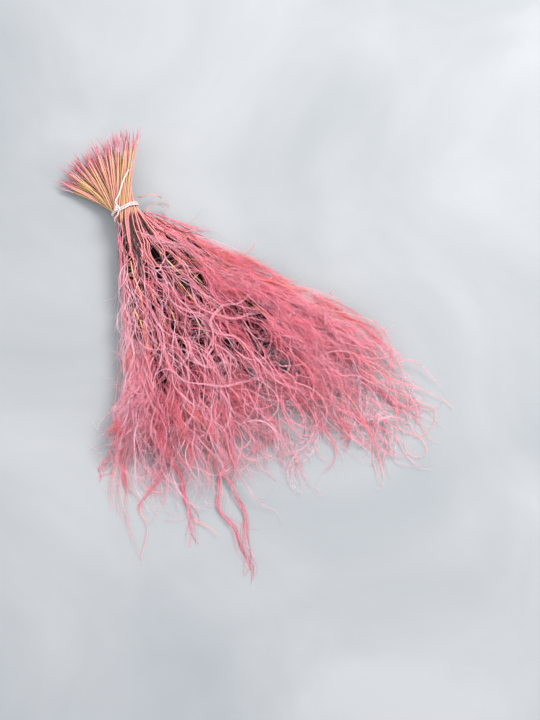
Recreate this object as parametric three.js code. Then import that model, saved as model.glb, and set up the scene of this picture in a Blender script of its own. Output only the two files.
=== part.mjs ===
// A tied bundle of dried, dyed feather grass, lying on a flat surface.
//
// Units are millimetres, +Z is up. +X runs from the cut stem ends towards the tips of the plumes.
// Everything is placed from the neck, where the string pulls the stems together. The stems go through
// the neck as straight straws that cross: the higher a stem lies there, the further it swings towards
// -Y on its plume side and towards +Y on its cut side. So both ends open into a fan.
import * as THREE from "three";

// ---- Driving sizes -------------------------------------------------------------------------

// Stems
const STEM_DIAMETER = 2;
const STEM_SIDES = 8;
const STEM_STEPS = 6;
const STEMS_PER_ROW = [3, 4, 6, 7, 7, 6, 4, 3]; // from the lowest row of the neck to the highest
const ROW_GAP = 0.45; // between the rows at the neck
const STEM_GAP = 2.2; // between the stems of a row at the neck
const CUT_LENGTH = 85; // of the longest stem, from the neck back to its cut end
const CUT_LENGTH_SPREAD = 13; // how much shorter the shortest stem is cut

// The way the stems open into fans on both sides of the neck
const CUT_FAN_ANGLE = 35; // degrees to either side, at the cut ends
const PLUME_FAN_ANGLE = 31; // degrees to either side, among the plumes
const ROW_SPREAD = 0.4; // how much wider a row gets from the neck to the plumes
const NECK_HEIGHT = 19; // from the surface to the middle of the neck
const NECK_DROP = 7; // how far the middle comes down from the neck to the plumes

// Plumes
const PLUME_START = 100; // from the neck to where the plumes begin
const PLUME_GAP = 0.5; // between neighbouring plumes
const STEM_TO_PLUME_GAP = 0.3;
const PLUME_ROOT_HEIGHT = 4.8;
const PLUME_HEIGHT = 31;
const PLUME_CREST = 215; // distance from the neck at which a plume is highest
const PLUME_SETTLES = 175; // distance from the neck past which a plume lies on the surface
const PLUME_TIP_HEIGHT = 2.5;
const PLUME_BASE_SHARE = 0.8; // width of a plume's underside, as a share of its full width
const PLUME_SHOULDER_SHARE = 0.45; // height of its widest place, as a share of its thickness
const PLUME_TIP_NARROWING = 0.97; // 1 would end a plume in an edge
const PLUME_STEPS = 13;
const PLUME_SWAY = 0.014; // sideways sway, as a share of the distance from the neck
const PLUME_SWAY_LENGTH = 260;
// How far each plume reaches from the neck along +X, from the -Y edge of the fan to its +Y edge
const PLUME_REACH = [272, 292, 304, 348, 424, 398, 330, 346, 358, 354, 366, 390, 382, 364];

// String
const STRING_DIAMETER = 1.8;
const STRING_SIDES = 8;
const STRING_GAP = 0.4; // between the string and what it lies on
const STRING_TURNS = 2;
const STEPS_PER_TURN = 44;
const KNOT_RADIUS = 2.9;
const KNOT_ANGLE = 112; // degrees round the neck from +Y, so that the knot sits on top towards -Y
const LONG_TAIL_STEPS = 24;
const SHORT_TAIL_STEPS = 8;
const SHORT_TAIL_LEAD = 10; // degrees round the neck from the knot to where the tail lies down
const SHORT_TAIL_TURN = 80; // degrees round the neck that it then covers
const SHORT_TAIL_OFFSET = 2.5; // past the winding
const SHORT_TAIL_DRIFT = 2;

// Dry leaves
const LEAF_WIDTH = 2;
const LEAF_THICKNESS = 0.7;
const LEAF_STEPS = 26;
const LEAF_OUTLINE_STEPS = 3;
const LEAF_CLEAR = 3.6; // from the outermost stem to the side where the leaves spring

// ---- Values that follow --------------------------------------------------------------------

const rowPitch = STEM_DIAMETER + ROW_GAP;
const stemPitch = STEM_DIAMETER + STEM_GAP;
const rowCount = STEMS_PER_ROW.length;
const topRowHeight = ((rowCount - 1) / 2) * rowPitch;
const widestRow = ((Math.max(...STEMS_PER_ROW) - 1) / 2) * stemPitch;
const cutSlope = Math.tan(THREE.MathUtils.degToRad(CUT_FAN_ANGLE));
const plumeSlope = Math.tan(THREE.MathUtils.degToRad(PLUME_FAN_ANGLE));
const stemRadius = STEM_DIAMETER / 2;
const stringRadius = STRING_DIAMETER / 2;
// At the cut ends the lowest row comes down until it touches the surface.
const cutFlare = (NECK_HEIGHT - stemRadius) / topRowHeight - 1;

const smooth = (t) => THREE.MathUtils.smoothstep(t, 0, 1);

// Height of the middle of the stems at a distance x from the neck.
const middleHeight = (x) => NECK_HEIGHT - NECK_DROP * smooth(x / PLUME_START);

// The place, at a distance x from the neck, of the stem that crosses the neck at (across, above).
// For every x this is a one-to-one map of the neck's section, so that no two stems can cross.
function stemPoint(x, across, above) {
  const cutShare = Math.max(0, -x / CUT_LENGTH);
  const slope = THREE.MathUtils.lerp(plumeSlope, cutSlope, smooth(cutShare));
  const spread = 1 + ROW_SPREAD * (x / PLUME_START) ** 2;
  const flare = 1 + cutFlare * cutShare ** 2;
  return new THREE.Vector3(
    x,
    across * spread - slope * x * (above / topRowHeight),
    middleHeight(x) + above * flare,
  );
}

// An even, repeatable scatter of shares from 0 to 1.
const GOLDEN_SHARE = 0.618034;
const scatter = (index) => (index * GOLDEN_SHARE) % 1;

const twoDigits = (number) => String(number).padStart(2, "0");

// ---- Materials -----------------------------------------------------------------------------

const strawMaterial = new THREE.MeshStandardMaterial({ color: 0xd88a78, roughness: 0.55, metalness: 0 });
const plumeMaterial = new THREE.MeshStandardMaterial({ color: 0xdd8c99, roughness: 0.9, metalness: 0 });
const stringMaterial = new THREE.MeshStandardMaterial({ color: 0xeae0de, roughness: 0.85, metalness: 0 });
const leafMaterial = new THREE.MeshStandardMaterial({ color: 0xc98f7c, roughness: 0.7, metalness: 0 });

// ---- Shape helpers -------------------------------------------------------------------------

// A solid rod of round section along a curve.
function rod(curve, radius, sides, steps) {
  const section = new THREE.Shape();
  for (let i = 0; i < sides; i += 1) {
    const turn = (2 * Math.PI * i) / sides;
    const corner = [radius * Math.cos(turn), radius * Math.sin(turn)];
    if (i === 0) section.moveTo(...corner);
    else section.lineTo(...corner);
  }
  section.closePath();
  return new THREE.ExtrudeGeometry(section, { steps, bevelEnabled: false, extrudePath: curve });
}

// A solid skin over rings of points. All rings have the same number of points, in order from +Y
// through +Z when seen from the tips, and both end rings are closed with a flat fan.
function loft(rings) {
  const perRing = rings[0].length;
  const positions = rings.flat().flatMap((point) => point.toArray());
  const faces = [];
  for (let ring = 0; ring < rings.length - 1; ring += 1) {
    for (let i = 0; i < perRing; i += 1) {
      const next = (i + 1) % perRing;
      const a = ring * perRing + i;
      const b = ring * perRing + next;
      faces.push(a, b, a + perRing, b, b + perRing, a + perRing);
    }
  }
  const lastRing = (rings.length - 1) * perRing;
  for (let i = 1; i < perRing - 1; i += 1) {
    faces.push(0, i + 1, i);
    faces.push(lastRing, lastRing + i, lastRing + i + 1);
  }
  const geometry = new THREE.BufferGeometry();
  geometry.setAttribute("position", new THREE.Float32BufferAttribute(positions, 3));
  geometry.setIndex(faces);
  geometry.computeVertexNormals();
  return geometry;
}

const bundle = new THREE.Group();

function addPiece(name, geometry, material) {
  const piece = new THREE.Mesh(geometry, material);
  piece.name = name;
  bundle.add(piece);
  return piece;
}

// ---- Stems ---------------------------------------------------------------------------------

// A stem ends a little before the plumes. Its cut face leans as the stem does.
const stemEnd = PLUME_START - STEM_TO_PLUME_GAP - stemRadius * plumeSlope;

class StemLine extends THREE.Curve {
  constructor(across, above, cutLength) {
    super();
    this.across = across;
    this.above = above;
    this.start = -cutLength * Math.cos(Math.atan((cutSlope * above) / topRowHeight));
  }

  getPoint(share, target = new THREE.Vector3()) {
    const x = THREE.MathUtils.lerp(this.start, stemEnd, share);
    return target.copy(stemPoint(x, this.across, this.above));
  }
}

let stemNumber = 0;
STEMS_PER_ROW.forEach((count, row) => {
  const above = (row - (rowCount - 1) / 2) * rowPitch;
  for (let i = 0; i < count; i += 1) {
    const across = (i - (count - 1) / 2) * stemPitch;
    stemNumber += 1;
    const cutLength = CUT_LENGTH - CUT_LENGTH_SPREAD * scatter(stemNumber);
    const line = new StemLine(across, above, cutLength);
    addPiece(`stem_${twoDigits(stemNumber)}`, rod(line, stemRadius, STEM_SIDES, STEM_STEPS), strawMaterial);
  }
});

// ---- Plumes --------------------------------------------------------------------------------

// The plumes share the fan like its leaves: each keeps to its own slice, so they never meet.
const plumeCount = PLUME_REACH.length;
const sliceSlope = (2 * plumeSlope) / plumeCount;

// Section of a plume: a flat underside, leaning sides and a domed top.
const SECTION_DOME = [0, 0.25, 0.5, 0.75, 1]; // shares of a half turn over the dome

function plumeRing(x, slope, reach) {
  const travel = (x - PLUME_START) / (reach - PLUME_START);
  const narrowing = Math.sqrt(1 - PLUME_TIP_NARROWING * travel ** 5);
  const halfWidth = ((sliceSlope * x) / 2 - PLUME_GAP / 2) * narrowing;
  const sway = PLUME_SWAY * Math.sin((2 * Math.PI * (x - PLUME_START)) / PLUME_SWAY_LENGTH);
  const middle = x * (slope + sway);

  const rootMiddle = middleHeight(x) - (topRowHeight * slope) / plumeSlope;
  const rootTop = Math.max(rootMiddle + PLUME_ROOT_HEIGHT / 2, PLUME_ROOT_HEIGHT);
  const lift = 1 - smooth((x - PLUME_START) / (PLUME_SETTLES - PLUME_START));
  const bottom = (rootTop - PLUME_ROOT_HEIGHT) * lift;
  const crest = x < PLUME_CREST
    ? THREE.MathUtils.lerp(rootTop, PLUME_HEIGHT, smooth((x - PLUME_START) / (PLUME_CREST - PLUME_START)))
    : THREE.MathUtils.lerp(PLUME_HEIGHT, PLUME_TIP_HEIGHT, smooth((x - PLUME_CREST) / (reach - PLUME_CREST)));
  const shoulder = bottom + PLUME_SHOULDER_SHARE * (crest - bottom);

  const ring = [];
  ring.push(new THREE.Vector3(x, middle + halfWidth * PLUME_BASE_SHARE, bottom));
  SECTION_DOME.forEach((share) => {
    const turn = Math.PI * share;
    ring.push(new THREE.Vector3(
      x,
      middle + halfWidth * Math.cos(turn),
      shoulder + (crest - shoulder) * Math.sin(turn),
    ));
  });
  ring.push(new THREE.Vector3(x, middle - halfWidth * PLUME_BASE_SHARE, bottom));
  return ring;
}

PLUME_REACH.forEach((reach, index) => {
  const slope = (index + 0.5) * sliceSlope - plumeSlope;
  const rings = [];
  for (let step = 0; step <= PLUME_STEPS; step += 1) {
    const x = THREE.MathUtils.lerp(PLUME_START, reach, step / PLUME_STEPS);
    rings.push(plumeRing(x, slope, reach));
  }
  addPiece(`plume_${twoDigits(index + 1)}`, loft(rings), plumeMaterial);
});

// ---- String --------------------------------------------------------------------------------

const neckStems = STEMS_PER_ROW.flatMap((count, row) => [-1, 1].map((side) => ({
  across: side * ((count - 1) / 2) * stemPitch,
  above: (row - (rowCount - 1) / 2) * rowPitch,
})));

// A point on a loop pulled tight round the stems at a distance x from the neck. The angle turns from
// +Y through +Z, and the loop's middle line stands clear of the middles of the stems.
function roundTheStems(angle, x, clear) {
  const outward = new THREE.Vector3(0, Math.cos(angle), Math.sin(angle));
  const middles = neckStems.map((stem) => stemPoint(x, stem.across, stem.above));
  const reached = middles.map((middle) => middle.dot(outward));
  return middles[reached.indexOf(Math.max(...reached))].addScaledVector(outward, clear);
}

// The outermost stems lean through the loop, which holds the string off them a little further.
const leanAtNeck = THREE.MathUtils.degToRad(PLUME_FAN_ANGLE);
const stringClear = (stemRadius + stringRadius) / Math.cos(leanAtNeck) + STRING_GAP;
const turnPitch = STRING_DIAMETER + STRING_GAP;
const windingStart = -(STRING_TURNS * turnPitch) / 2;
const knotAngle = THREE.MathUtils.degToRad(KNOT_ANGLE);

// The winding starts and ends under the knot.
const windingPoints = [];
for (let step = 0; step <= STRING_TURNS * STEPS_PER_TURN; step += 1) {
  const turns = step / STEPS_PER_TURN;
  const x = windingStart + turnPitch * turns;
  windingPoints.push(roundTheStems(knotAngle + 2 * Math.PI * turns, x, stringClear));
}
addPiece(
  "tie_winding",
  rod(new THREE.CatmullRomCurve3(windingPoints), stringRadius, STRING_SIDES, windingPoints.length),
  stringMaterial,
);

const knotClear = stringClear + stringRadius + STRING_GAP + KNOT_RADIUS;
const knotMiddle = roundTheStems(knotAngle, 0, knotClear);
const knot = addPiece("tie_knot", new THREE.SphereGeometry(KNOT_RADIUS, 12, 8), stringMaterial);
knot.position.copy(knotMiddle);

// The long tail leaves the knot and lies over the cut stems.
const onCutStems = (x, y) => {
  const topOfStems = stemPoint(x, 0, topRowHeight).z;
  return new THREE.Vector3(x, y, topOfStems + stringClear);
};
const tailGap = KNOT_RADIUS + stringRadius;
const longTail = new THREE.CatmullRomCurve3([
  knotMiddle.clone().add(new THREE.Vector3(-tailGap, 0, 0)),
  onCutStems(-10, -5),
  onCutStems(-14, 0.4),
  onCutStems(-19, 5.5),
  onCutStems(-25, 11),
  onCutStems(-31, 18),
  onCutStems(-36, 25),
]);
addPiece("tie_tail_long", rod(longTail, stringRadius, STRING_SIDES, LONG_TAIL_STEPS), stringMaterial);

// The short tail drops from the knot over the -Y flank of the neck, drifting towards the plumes.
const shortTailPoints = [knotMiddle.clone().add(new THREE.Vector3(tailGap, 0, 0))];
for (let step = 1; step <= SHORT_TAIL_STEPS; step += 1) {
  const share = step / SHORT_TAIL_STEPS;
  const angle = knotAngle + THREE.MathUtils.degToRad(SHORT_TAIL_LEAD + SHORT_TAIL_TURN * share);
  const x = tailGap + SHORT_TAIL_OFFSET + SHORT_TAIL_DRIFT * share;
  shortTailPoints.push(roundTheStems(angle, x, stringClear));
}
addPiece(
  "tie_tail_short",
  rod(new THREE.CatmullRomCurve3(shortTailPoints), stringRadius, STRING_SIDES, 2 * SHORT_TAIL_STEPS),
  stringMaterial,
);

// ---- Dry leaves ----------------------------------------------------------------------------

// Two narrow leaves spring from the +Y flank of the bundle beside the neck and curl down to the surface.
function addLeaf(name, route) {
  const curve = new THREE.CatmullRomCurve3(route.map((point) => new THREE.Vector3(...point)));
  const section = new THREE.Shape();
  section.absellipse(0, 0, LEAF_WIDTH / 2, LEAF_THICKNESS / 2, 0, 2 * Math.PI);
  const options = {
    steps: LEAF_STEPS,
    curveSegments: LEAF_OUTLINE_STEPS,
    bevelEnabled: false,
    extrudePath: curve,
  };
  addPiece(name, new THREE.ExtrudeGeometry(section, options), leafMaterial);
}

const besideNeck = widestRow + stemRadius + LEAF_CLEAR;
addLeaf("leaf_curled", [
  [-9, besideNeck + 2, NECK_HEIGHT - 2],
  [-4.5, besideNeck + 8, NECK_HEIGHT - 1],
  [-5.5, 33, NECK_HEIGHT - 4.5],
  [-2.5, 40.5, 9.5],
  [6, 46.5, 4],
  [15, 47, 1.4],
]);
addLeaf("leaf_trailing", [
  [12, besideNeck + 3, NECK_HEIGHT - 4],
  [8.5, 28.5, NECK_HEIGHT - 5],
  [8, 36, 10.5],
  [13, 40.5, 6],
  [21, 38.5, 2.6],
  [27, 33, 1.4],
]);

// ---- Place ---------------------------------------------------------------------------------

// The origin is the middle of the bundle's outline, on the surface that it lies on.
bundle.updateMatrixWorld(true);
const outline = new THREE.Box3().setFromObject(bundle, true);
const middle = outline.getCenter(new THREE.Vector3());
bundle.position.set(-middle.x, -middle.y, -outline.min.z);
bundle.updateMatrixWorld(true);

export default bundle;
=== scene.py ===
# %% [markdown]
# # A tied bundle of dyed feather grass
# The bundle lies on a pale floor. Cut stems cross at a string tie and open into a fan on both sides.
# The short side shows the cut ends, and the long side carries the plumes: soft awns with fine hairs.
# The CAD frame already holds every piece as a plain solid, so this lesson only works on the looks.

# %% Load the frame
import math

import bmesh
import bpy
import numpy as np
from mathutils import Matrix, Vector


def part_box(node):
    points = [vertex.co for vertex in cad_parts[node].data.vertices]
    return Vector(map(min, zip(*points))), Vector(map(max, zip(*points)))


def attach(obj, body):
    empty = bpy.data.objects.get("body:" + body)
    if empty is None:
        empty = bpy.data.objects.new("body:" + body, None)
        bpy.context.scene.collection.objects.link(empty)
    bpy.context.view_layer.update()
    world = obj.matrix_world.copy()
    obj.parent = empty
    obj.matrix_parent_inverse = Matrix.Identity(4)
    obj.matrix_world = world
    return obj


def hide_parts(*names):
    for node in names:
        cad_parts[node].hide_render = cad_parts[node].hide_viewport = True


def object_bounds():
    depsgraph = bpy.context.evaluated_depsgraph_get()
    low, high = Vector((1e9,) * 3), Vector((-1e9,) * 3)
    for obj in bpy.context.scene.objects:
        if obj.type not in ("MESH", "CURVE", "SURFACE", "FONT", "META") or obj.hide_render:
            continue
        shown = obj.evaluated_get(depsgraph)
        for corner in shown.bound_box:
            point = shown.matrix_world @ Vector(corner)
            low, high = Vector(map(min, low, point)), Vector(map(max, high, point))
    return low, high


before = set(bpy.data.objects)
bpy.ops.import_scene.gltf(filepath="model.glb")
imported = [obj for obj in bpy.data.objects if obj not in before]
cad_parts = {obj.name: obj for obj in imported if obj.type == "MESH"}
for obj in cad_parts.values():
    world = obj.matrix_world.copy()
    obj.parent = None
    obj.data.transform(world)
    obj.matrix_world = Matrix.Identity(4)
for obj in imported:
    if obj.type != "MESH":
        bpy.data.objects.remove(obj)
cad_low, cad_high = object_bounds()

MM = 0.001
print("frame box in mm:", [round((b - a) / MM) for a, b in zip(cad_low, cad_high)])

# %% [markdown]
# ## Where things are
# All places are worked out from the frame. The middle of the string winding is the neck of the bundle.
# Everything fans out from there, so the lesson measures in millimetres from the point of the surface
# under the neck, with X towards the plume tips.

# %% Measure the neck and the plumes
neck_low, neck_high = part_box("tie_winding")
neck = (neck_low + neck_high) / 2
origin = np.array((neck.x, neck.y, 0.0))
NECK_HEIGHT = neck.z / MM
PLUMES = sorted(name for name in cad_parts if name.startswith("plume_"))
STEMS = sorted(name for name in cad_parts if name.startswith("stem_"))


def node_points(name):
    """The corners of a frame node, in millimetres from the point under the neck."""
    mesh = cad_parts[name].data
    points = np.empty(len(mesh.vertices) * 3)
    mesh.vertices.foreach_get("co", points)
    return (points.reshape(-1, 3) - origin) / MM


def stations(points):
    """The cross-sections of a plume: distance, sideways middle, lowest and highest point of each."""
    rounded = np.round(points[:, 0], 1)
    rows = []
    for x in np.unique(rounded):
        ring = points[rounded == x]
        rows.append((x, ring[:, 1].mean(), ring[:, 2].min(), ring[:, 2].max()))
    return np.array(rows)


plume_rows = [stations(node_points(name)) for name in PLUMES]
plume_slopes = np.array([np.mean(rows[:, 1] / rows[:, 0]) for rows in plume_rows])
plume_reach = np.array([rows[-1, 0] for rows in plume_rows])
PLUME_START = plume_rows[0][0, 0]
FAN_SLOPE = plume_slopes.max() + (plume_slopes[1] - plume_slopes[0]) / 2
print("neck height", round(NECK_HEIGHT, 1), "plume start", PLUME_START, "fan slope", round(FAN_SLOPE, 3))

# %% [markdown]
# ## The sides of the fan
# The bundle's two sides are not straight. The -Y side is hollow and flares out near its tips, and the
# +Y side bulges near the neck. A fibre's place across the fan is a share from -1 on one side to 1 on the
# other, so fibres that keep their share follow the sides.

# %% Sides of the fan
MINUS_EDGE = [
    (0, -13), (16, -16), (50, -31), (80, -45), (113, -58), (156, -75), (180, -85), (200, -99),
    (225, -121), (252, -146), (300, -166), (440, -186),
]
PLUS_EDGE = [
    (0, 13), (26, 33), (53, 51), (81, 68), (111, 84), (138, 100), (168, 116), (195, 131), (250, 162),
    (281, 170), (330, 180), (376, 193), (440, 208),
]
EDGE_GIVE = 7.0


def fan_y(x, share):
    """The place y at a share of the way from the middle line to the side of the fan."""
    minus = np.interp(x, *zip(*MINUS_EDGE))
    plus = np.interp(x, *zip(*PLUS_EDGE))
    return np.where(share < 0.0, -share * minus, share * plus)


def fan_share(x, y):
    """The share at which a place lies, which passes -1 or 1 outside the fan."""
    minus = np.interp(x, *zip(*MINUS_EDGE))
    plus = np.interp(x, *zip(*PLUS_EDGE))
    return np.where(y < 0.0, -y / minus, y / plus)


def fan_heading(x, share):
    """The direction in which a fibre that keeps its share runs."""
    ahead = 24.0
    return np.arctan2(fan_y(x + ahead, share) - fan_y(x, share), ahead)


def within_sides(x, y):
    """Bends what leaves the sides of the fan softly back along them."""
    low, high = fan_y(x, -1.0), fan_y(x, 1.0)
    y = np.where(y > high, high + EDGE_GIVE * np.tanh((y - high) / EDGE_GIVE), y)
    return x, np.where(y < low, low + EDGE_GIVE * np.tanh((y - low) / EDGE_GIVE), y)

# %% [markdown]
# ## The pile
# The plumes lie in one soft pile. Its underside and top are read from the plume solids once, into two
# small grids over distance and fan slope, so that any hair can ask how high the pile is where it lies.

# %% Tables of the pile's underside and top
GRID_STEP = 5.0
PAST_THE_TIPS = 40.0
HALF_LAYER = 3.2  # half the thickness of a plume's layer where it leaves the neck
NECK_HALF_HEIGHT = 8.6  # of the bunch of straws in the neck
grid_x = np.arange(0.0, plume_reach.max() + PAST_THE_TIPS, GRID_STEP)


def pile_grid(column):
    grid = []
    for rows, slope in zip(plume_rows, plume_slopes):
        heights = np.interp(grid_x, rows[:, 0], rows[:, column])
        side = 1.0 if column == 3 else -1.0
        at_neck = NECK_HEIGHT - NECK_HALF_HEIGHT * slope / FAN_SLOPE + side * HALF_LAYER
        share = np.clip(grid_x / PLUME_START, 0.0, 1.0)
        grid.append(np.where(grid_x < PLUME_START, at_neck + (rows[0, column] - at_neck) * share, heights))
    return np.array(grid)


pile_under = pile_grid(2)
pile_over = pile_grid(3)


def from_grid(grid, x, slope):
    """Looks a grid up between its points, for whole arrays at once."""
    column = np.clip(x / GRID_STEP, 0.0, len(grid_x) - 1.001)
    row = np.interp(slope, plume_slopes, np.arange(len(plume_slopes)))
    row = np.clip(row, 0.0, len(plume_slopes) - 1.001)
    c, r = column.astype(int), row.astype(int)
    fc, fr = column - c, row - r
    near = grid[r, c] * (1 - fc) + grid[r, c + 1] * fc
    far = grid[r + 1, c] * (1 - fc) + grid[r + 1, c + 1] * fc
    return near * (1 - fr) + far * fr


def smooth(t):
    t = np.clip(t, 0.0, 1.0)
    return t * t * (3.0 - 2.0 * t)


# %% Heights in the pile
SIDE_HEIGHT = 2.5  # of the loose fibres beyond the sides of the fan
TIP_HEIGHT = 5.0
TIPS_START, TIPS_SHARE = 0.8, 0.2  # shares of a plume's reach
LOWEST_FIBRE = 0.3


def pile_height(x, y, share):
    """The height at a share of the pile's thickness, from 0 underneath to 1 on top."""
    place = fan_share(x, y)
    slope = place * FAN_SLOPE
    under = from_grid(pile_under, x, slope)
    over = from_grid(pile_over, x, slope)
    beyond = smooth((np.abs(place) - 1.0) / 0.3)
    reach = np.interp(slope, plume_slopes, plume_reach)
    past = smooth((x - reach * TIPS_START) / (reach * TIPS_SHARE))
    under = under * (1 - beyond)
    over = over * (1 - beyond) + SIDE_HEIGHT * beyond
    over = over * (1 - past) + np.minimum(over, TIP_HEIGHT) * past
    return np.maximum(under + (over - under) * share, LOWEST_FIBRE)


# %% Limits of the soft edge
PROUD_AT_SIDES = 10.0
PROUD_AT_TIPS = 16.0
MINUS_LIMIT = (neck.y - cad_low.y) / MM + PROUD_AT_SIDES
PLUS_LIMIT = (cad_high.y - neck.y) / MM + PROUD_AT_SIDES
FAR_LIMIT = (cad_high.x - neck.x) / MM + PROUD_AT_TIPS
SOFT_EDGE = 22.0


def keep_inside(x, y):
    """Bends fibres that would leave the frame's outline softly back along it."""
    for sign, limit in ((-1.0, MINUS_LIMIT), (1.0, PLUS_LIMIT)):
        over = sign * y - (limit - SOFT_EDGE)
        y = np.where(over > 0, sign * (limit - SOFT_EDGE + SOFT_EDGE * np.tanh(over / SOFT_EDGE)), y)
    over = x - (FAR_LIMIT - SOFT_EDGE)
    return np.where(over > 0, FAR_LIMIT - SOFT_EDGE + SOFT_EDGE * np.tanh(over / SOFT_EDGE), x), y


print("pile is highest at", round(float(pile_over.max()), 1), "mm")

# %% [markdown]
# ## Camera and cord first
# The camera looks down on the bundle from the near side. The long string tail is a free cord. Its route
# is the frame's own, given here in millimetres from the point under the neck.

# %% Camera
VIEW_RIGHT = Vector((0.485, 0.875, 0.0)).normalized()
VIEW_UP = Vector((-0.875, 0.485, 0.0)).normalized()
CAMERA_DISTANCE = 1.10
CAMERA_TILT = math.radians(14.0)
AIM_HEIGHT = 0.010
AIM_RIGHT, AIM_DOWN = 0.1641, 0.1730  # from the neck to the middle of the view
aim = Vector((neck.x, neck.y, AIM_HEIGHT)) + VIEW_RIGHT * AIM_RIGHT - VIEW_UP * AIM_DOWN
camera_data = bpy.data.cameras.new("camera")
camera_data.lens = 50.0
camera = bpy.data.objects.new("camera", camera_data)
bpy.context.scene.collection.objects.link(camera)
away = (Vector((0, 0, 1)) * math.cos(CAMERA_TILT) - VIEW_UP * math.sin(CAMERA_TILT)).normalized()
camera.location = aim + away * CAMERA_DISTANCE
camera_up = (VIEW_UP - away * VIEW_UP.dot(away)).normalized()
camera_right = camera_up.cross(away)
rotation = np.column_stack((camera_right, camera_up, away))
camera.rotation_euler = Matrix(rotation.tolist()).to_euler()
bpy.context.scene.camera = camera
print("camera height in mm:", round(camera.location.z / MM))

# %% The long tail's route
TAIL_ROUTE = [
    (-3.80, -6.75, 33.90),
    (-10.00, -5.00, 30.35),
    (-14.00, 0.40, 30.51),
    (-19.00, 5.50, 30.78),
    (-25.00, 11.00, 31.21),
    (-31.00, 18.00, 31.76),
    (-36.00, 25.00, 32.31),
]


def smooth_path(points, count):
    """A centripetal Catmull-Rom line through points, as evenly spaced points."""
    points = np.asarray(points, float)
    ends = np.vstack((2 * points[0] - points[1], points, 2 * points[-1] - points[-2]))
    knots = np.concatenate(([0.0], np.cumsum(np.sqrt(np.linalg.norm(np.diff(ends, axis=0), axis=1)))))
    dense = []
    for i in range(1, len(ends) - 2):
        t = np.linspace(knots[i], knots[i + 1], 24, endpoint=i == len(ends) - 3)[:, None]
        k0, k1, k2, k3 = knots[i - 1:i + 3]
        a1 = (k1 - t) / (k1 - k0) * ends[i - 1] + (t - k0) / (k1 - k0) * ends[i]
        a2 = (k2 - t) / (k2 - k1) * ends[i] + (t - k1) / (k2 - k1) * ends[i + 1]
        a3 = (k3 - t) / (k3 - k2) * ends[i + 1] + (t - k2) / (k3 - k2) * ends[i + 2]
        b1 = (k2 - t) / (k2 - k0) * a1 + (t - k0) / (k2 - k0) * a2
        b2 = (k3 - t) / (k3 - k1) * a2 + (t - k1) / (k3 - k1) * a3
        dense.append((k2 - t) / (k2 - k1) * b1 + (t - k1) / (k2 - k1) * b2)
    dense = np.vstack(dense)
    run = np.concatenate(([0.0], np.cumsum(np.linalg.norm(np.diff(dense, axis=0), axis=1))))
    at = np.linspace(0.0, run[-1], count)
    return np.column_stack([np.interp(at, run, dense[:, axis]) for axis in range(3)])


def path_length(points):
    return float(np.linalg.norm(np.diff(points, axis=0), axis=1).sum())


tail_path = smooth_path(TAIL_ROUTE, 60)
print("long tail in mm:", round(path_length(tail_path), 1))

# %% [markdown]
# ## Floor and light
# A plain pale plaster floor and soft daylight: a bright sky, a large window-like lamp from the far
# right, and nothing else, so that the shadow under the bundle stays soft.

# %% Small helpers for shader nodes
def new_material(name):
    material = bpy.data.materials.new(name)
    material.use_nodes = True
    tree = material.node_tree
    return material, tree, tree.nodes["Principled BSDF"]


def add_node(tree, kind, **settings):
    node = tree.nodes.new(kind)
    for key, value in settings.items():
        setattr(node, key, value)
    return node


def ramp(tree, factor, stops):
    node = tree.nodes.new("ShaderNodeValToRGB")
    elements = node.color_ramp.elements
    while len(elements) < len(stops):
        elements.new(0.5)
    for element, (place, colour) in zip(elements, stops):
        element.position = place
        element.color = (*colour, 1.0)
    tree.links.new(factor, node.inputs["Fac"])
    return node.outputs["Color"]


def colour(red, green, blue):
    """A colour given as it looks on a screen, from 0 to 255, turned into light values."""
    parts = [part / 255.0 for part in (red, green, blue)]
    return tuple(p / 12.92 if p <= 0.04045 else ((p + 0.055) / 1.055) ** 2.4 for p in parts)


# %% Floor
FLOOR_REACH = 4.0


def make_floor():
    material, tree, shader = new_material("pale_plaster")
    place = add_node(tree, "ShaderNodeTexCoord").outputs["Object"]
    cloud = add_node(tree, "ShaderNodeTexNoise")
    cloud.inputs["Scale"].default_value = 3.5
    cloud.inputs["Detail"].default_value = 8.0
    cloud.inputs["Distortion"].default_value = 0.8
    tree.links.new(place, cloud.inputs["Vector"])
    tint = ramp(tree, cloud.outputs["Fac"], [(0.32, colour(118, 121, 124)), (0.68, colour(135, 136, 138))])
    tree.links.new(tint, shader.inputs["Base Color"])
    shader.inputs["Roughness"].default_value = 0.85
    grain = add_node(tree, "ShaderNodeTexNoise")
    grain.inputs["Scale"].default_value = 60.0
    grain.inputs["Detail"].default_value = 6.0
    tree.links.new(place, grain.inputs["Vector"])
    bump = add_node(tree, "ShaderNodeBump")
    bump.inputs["Strength"].default_value = 0.15
    bump.inputs["Distance"].default_value = 0.001
    tree.links.new(grain.outputs["Fac"], bump.inputs["Height"])
    tree.links.new(bump.outputs["Normal"], shader.inputs["Normal"])
    mesh = bpy.data.meshes.new("floor")
    corners = [(-1, -1), (1, -1), (1, 1), (-1, 1)]
    mesh.from_pydata([(a * FLOOR_REACH, b * FLOOR_REACH, 0) for a, b in corners], [], [(0, 1, 2, 3)])
    mesh.materials.append(material)
    floor = bpy.data.objects.new("floor", mesh)
    bpy.context.scene.collection.objects.link(floor)


make_floor()

# %% Light
world = bpy.data.worlds.new("soft_sky")
world.use_nodes = True
sky = world.node_tree.nodes["Background"]
sky.inputs["Color"].default_value = (0.93, 0.96, 1.0, 1.0)
sky.inputs["Strength"].default_value = 1.92
bpy.context.scene.world = world
bpy.context.scene.view_settings.view_transform = "Standard"


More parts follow.
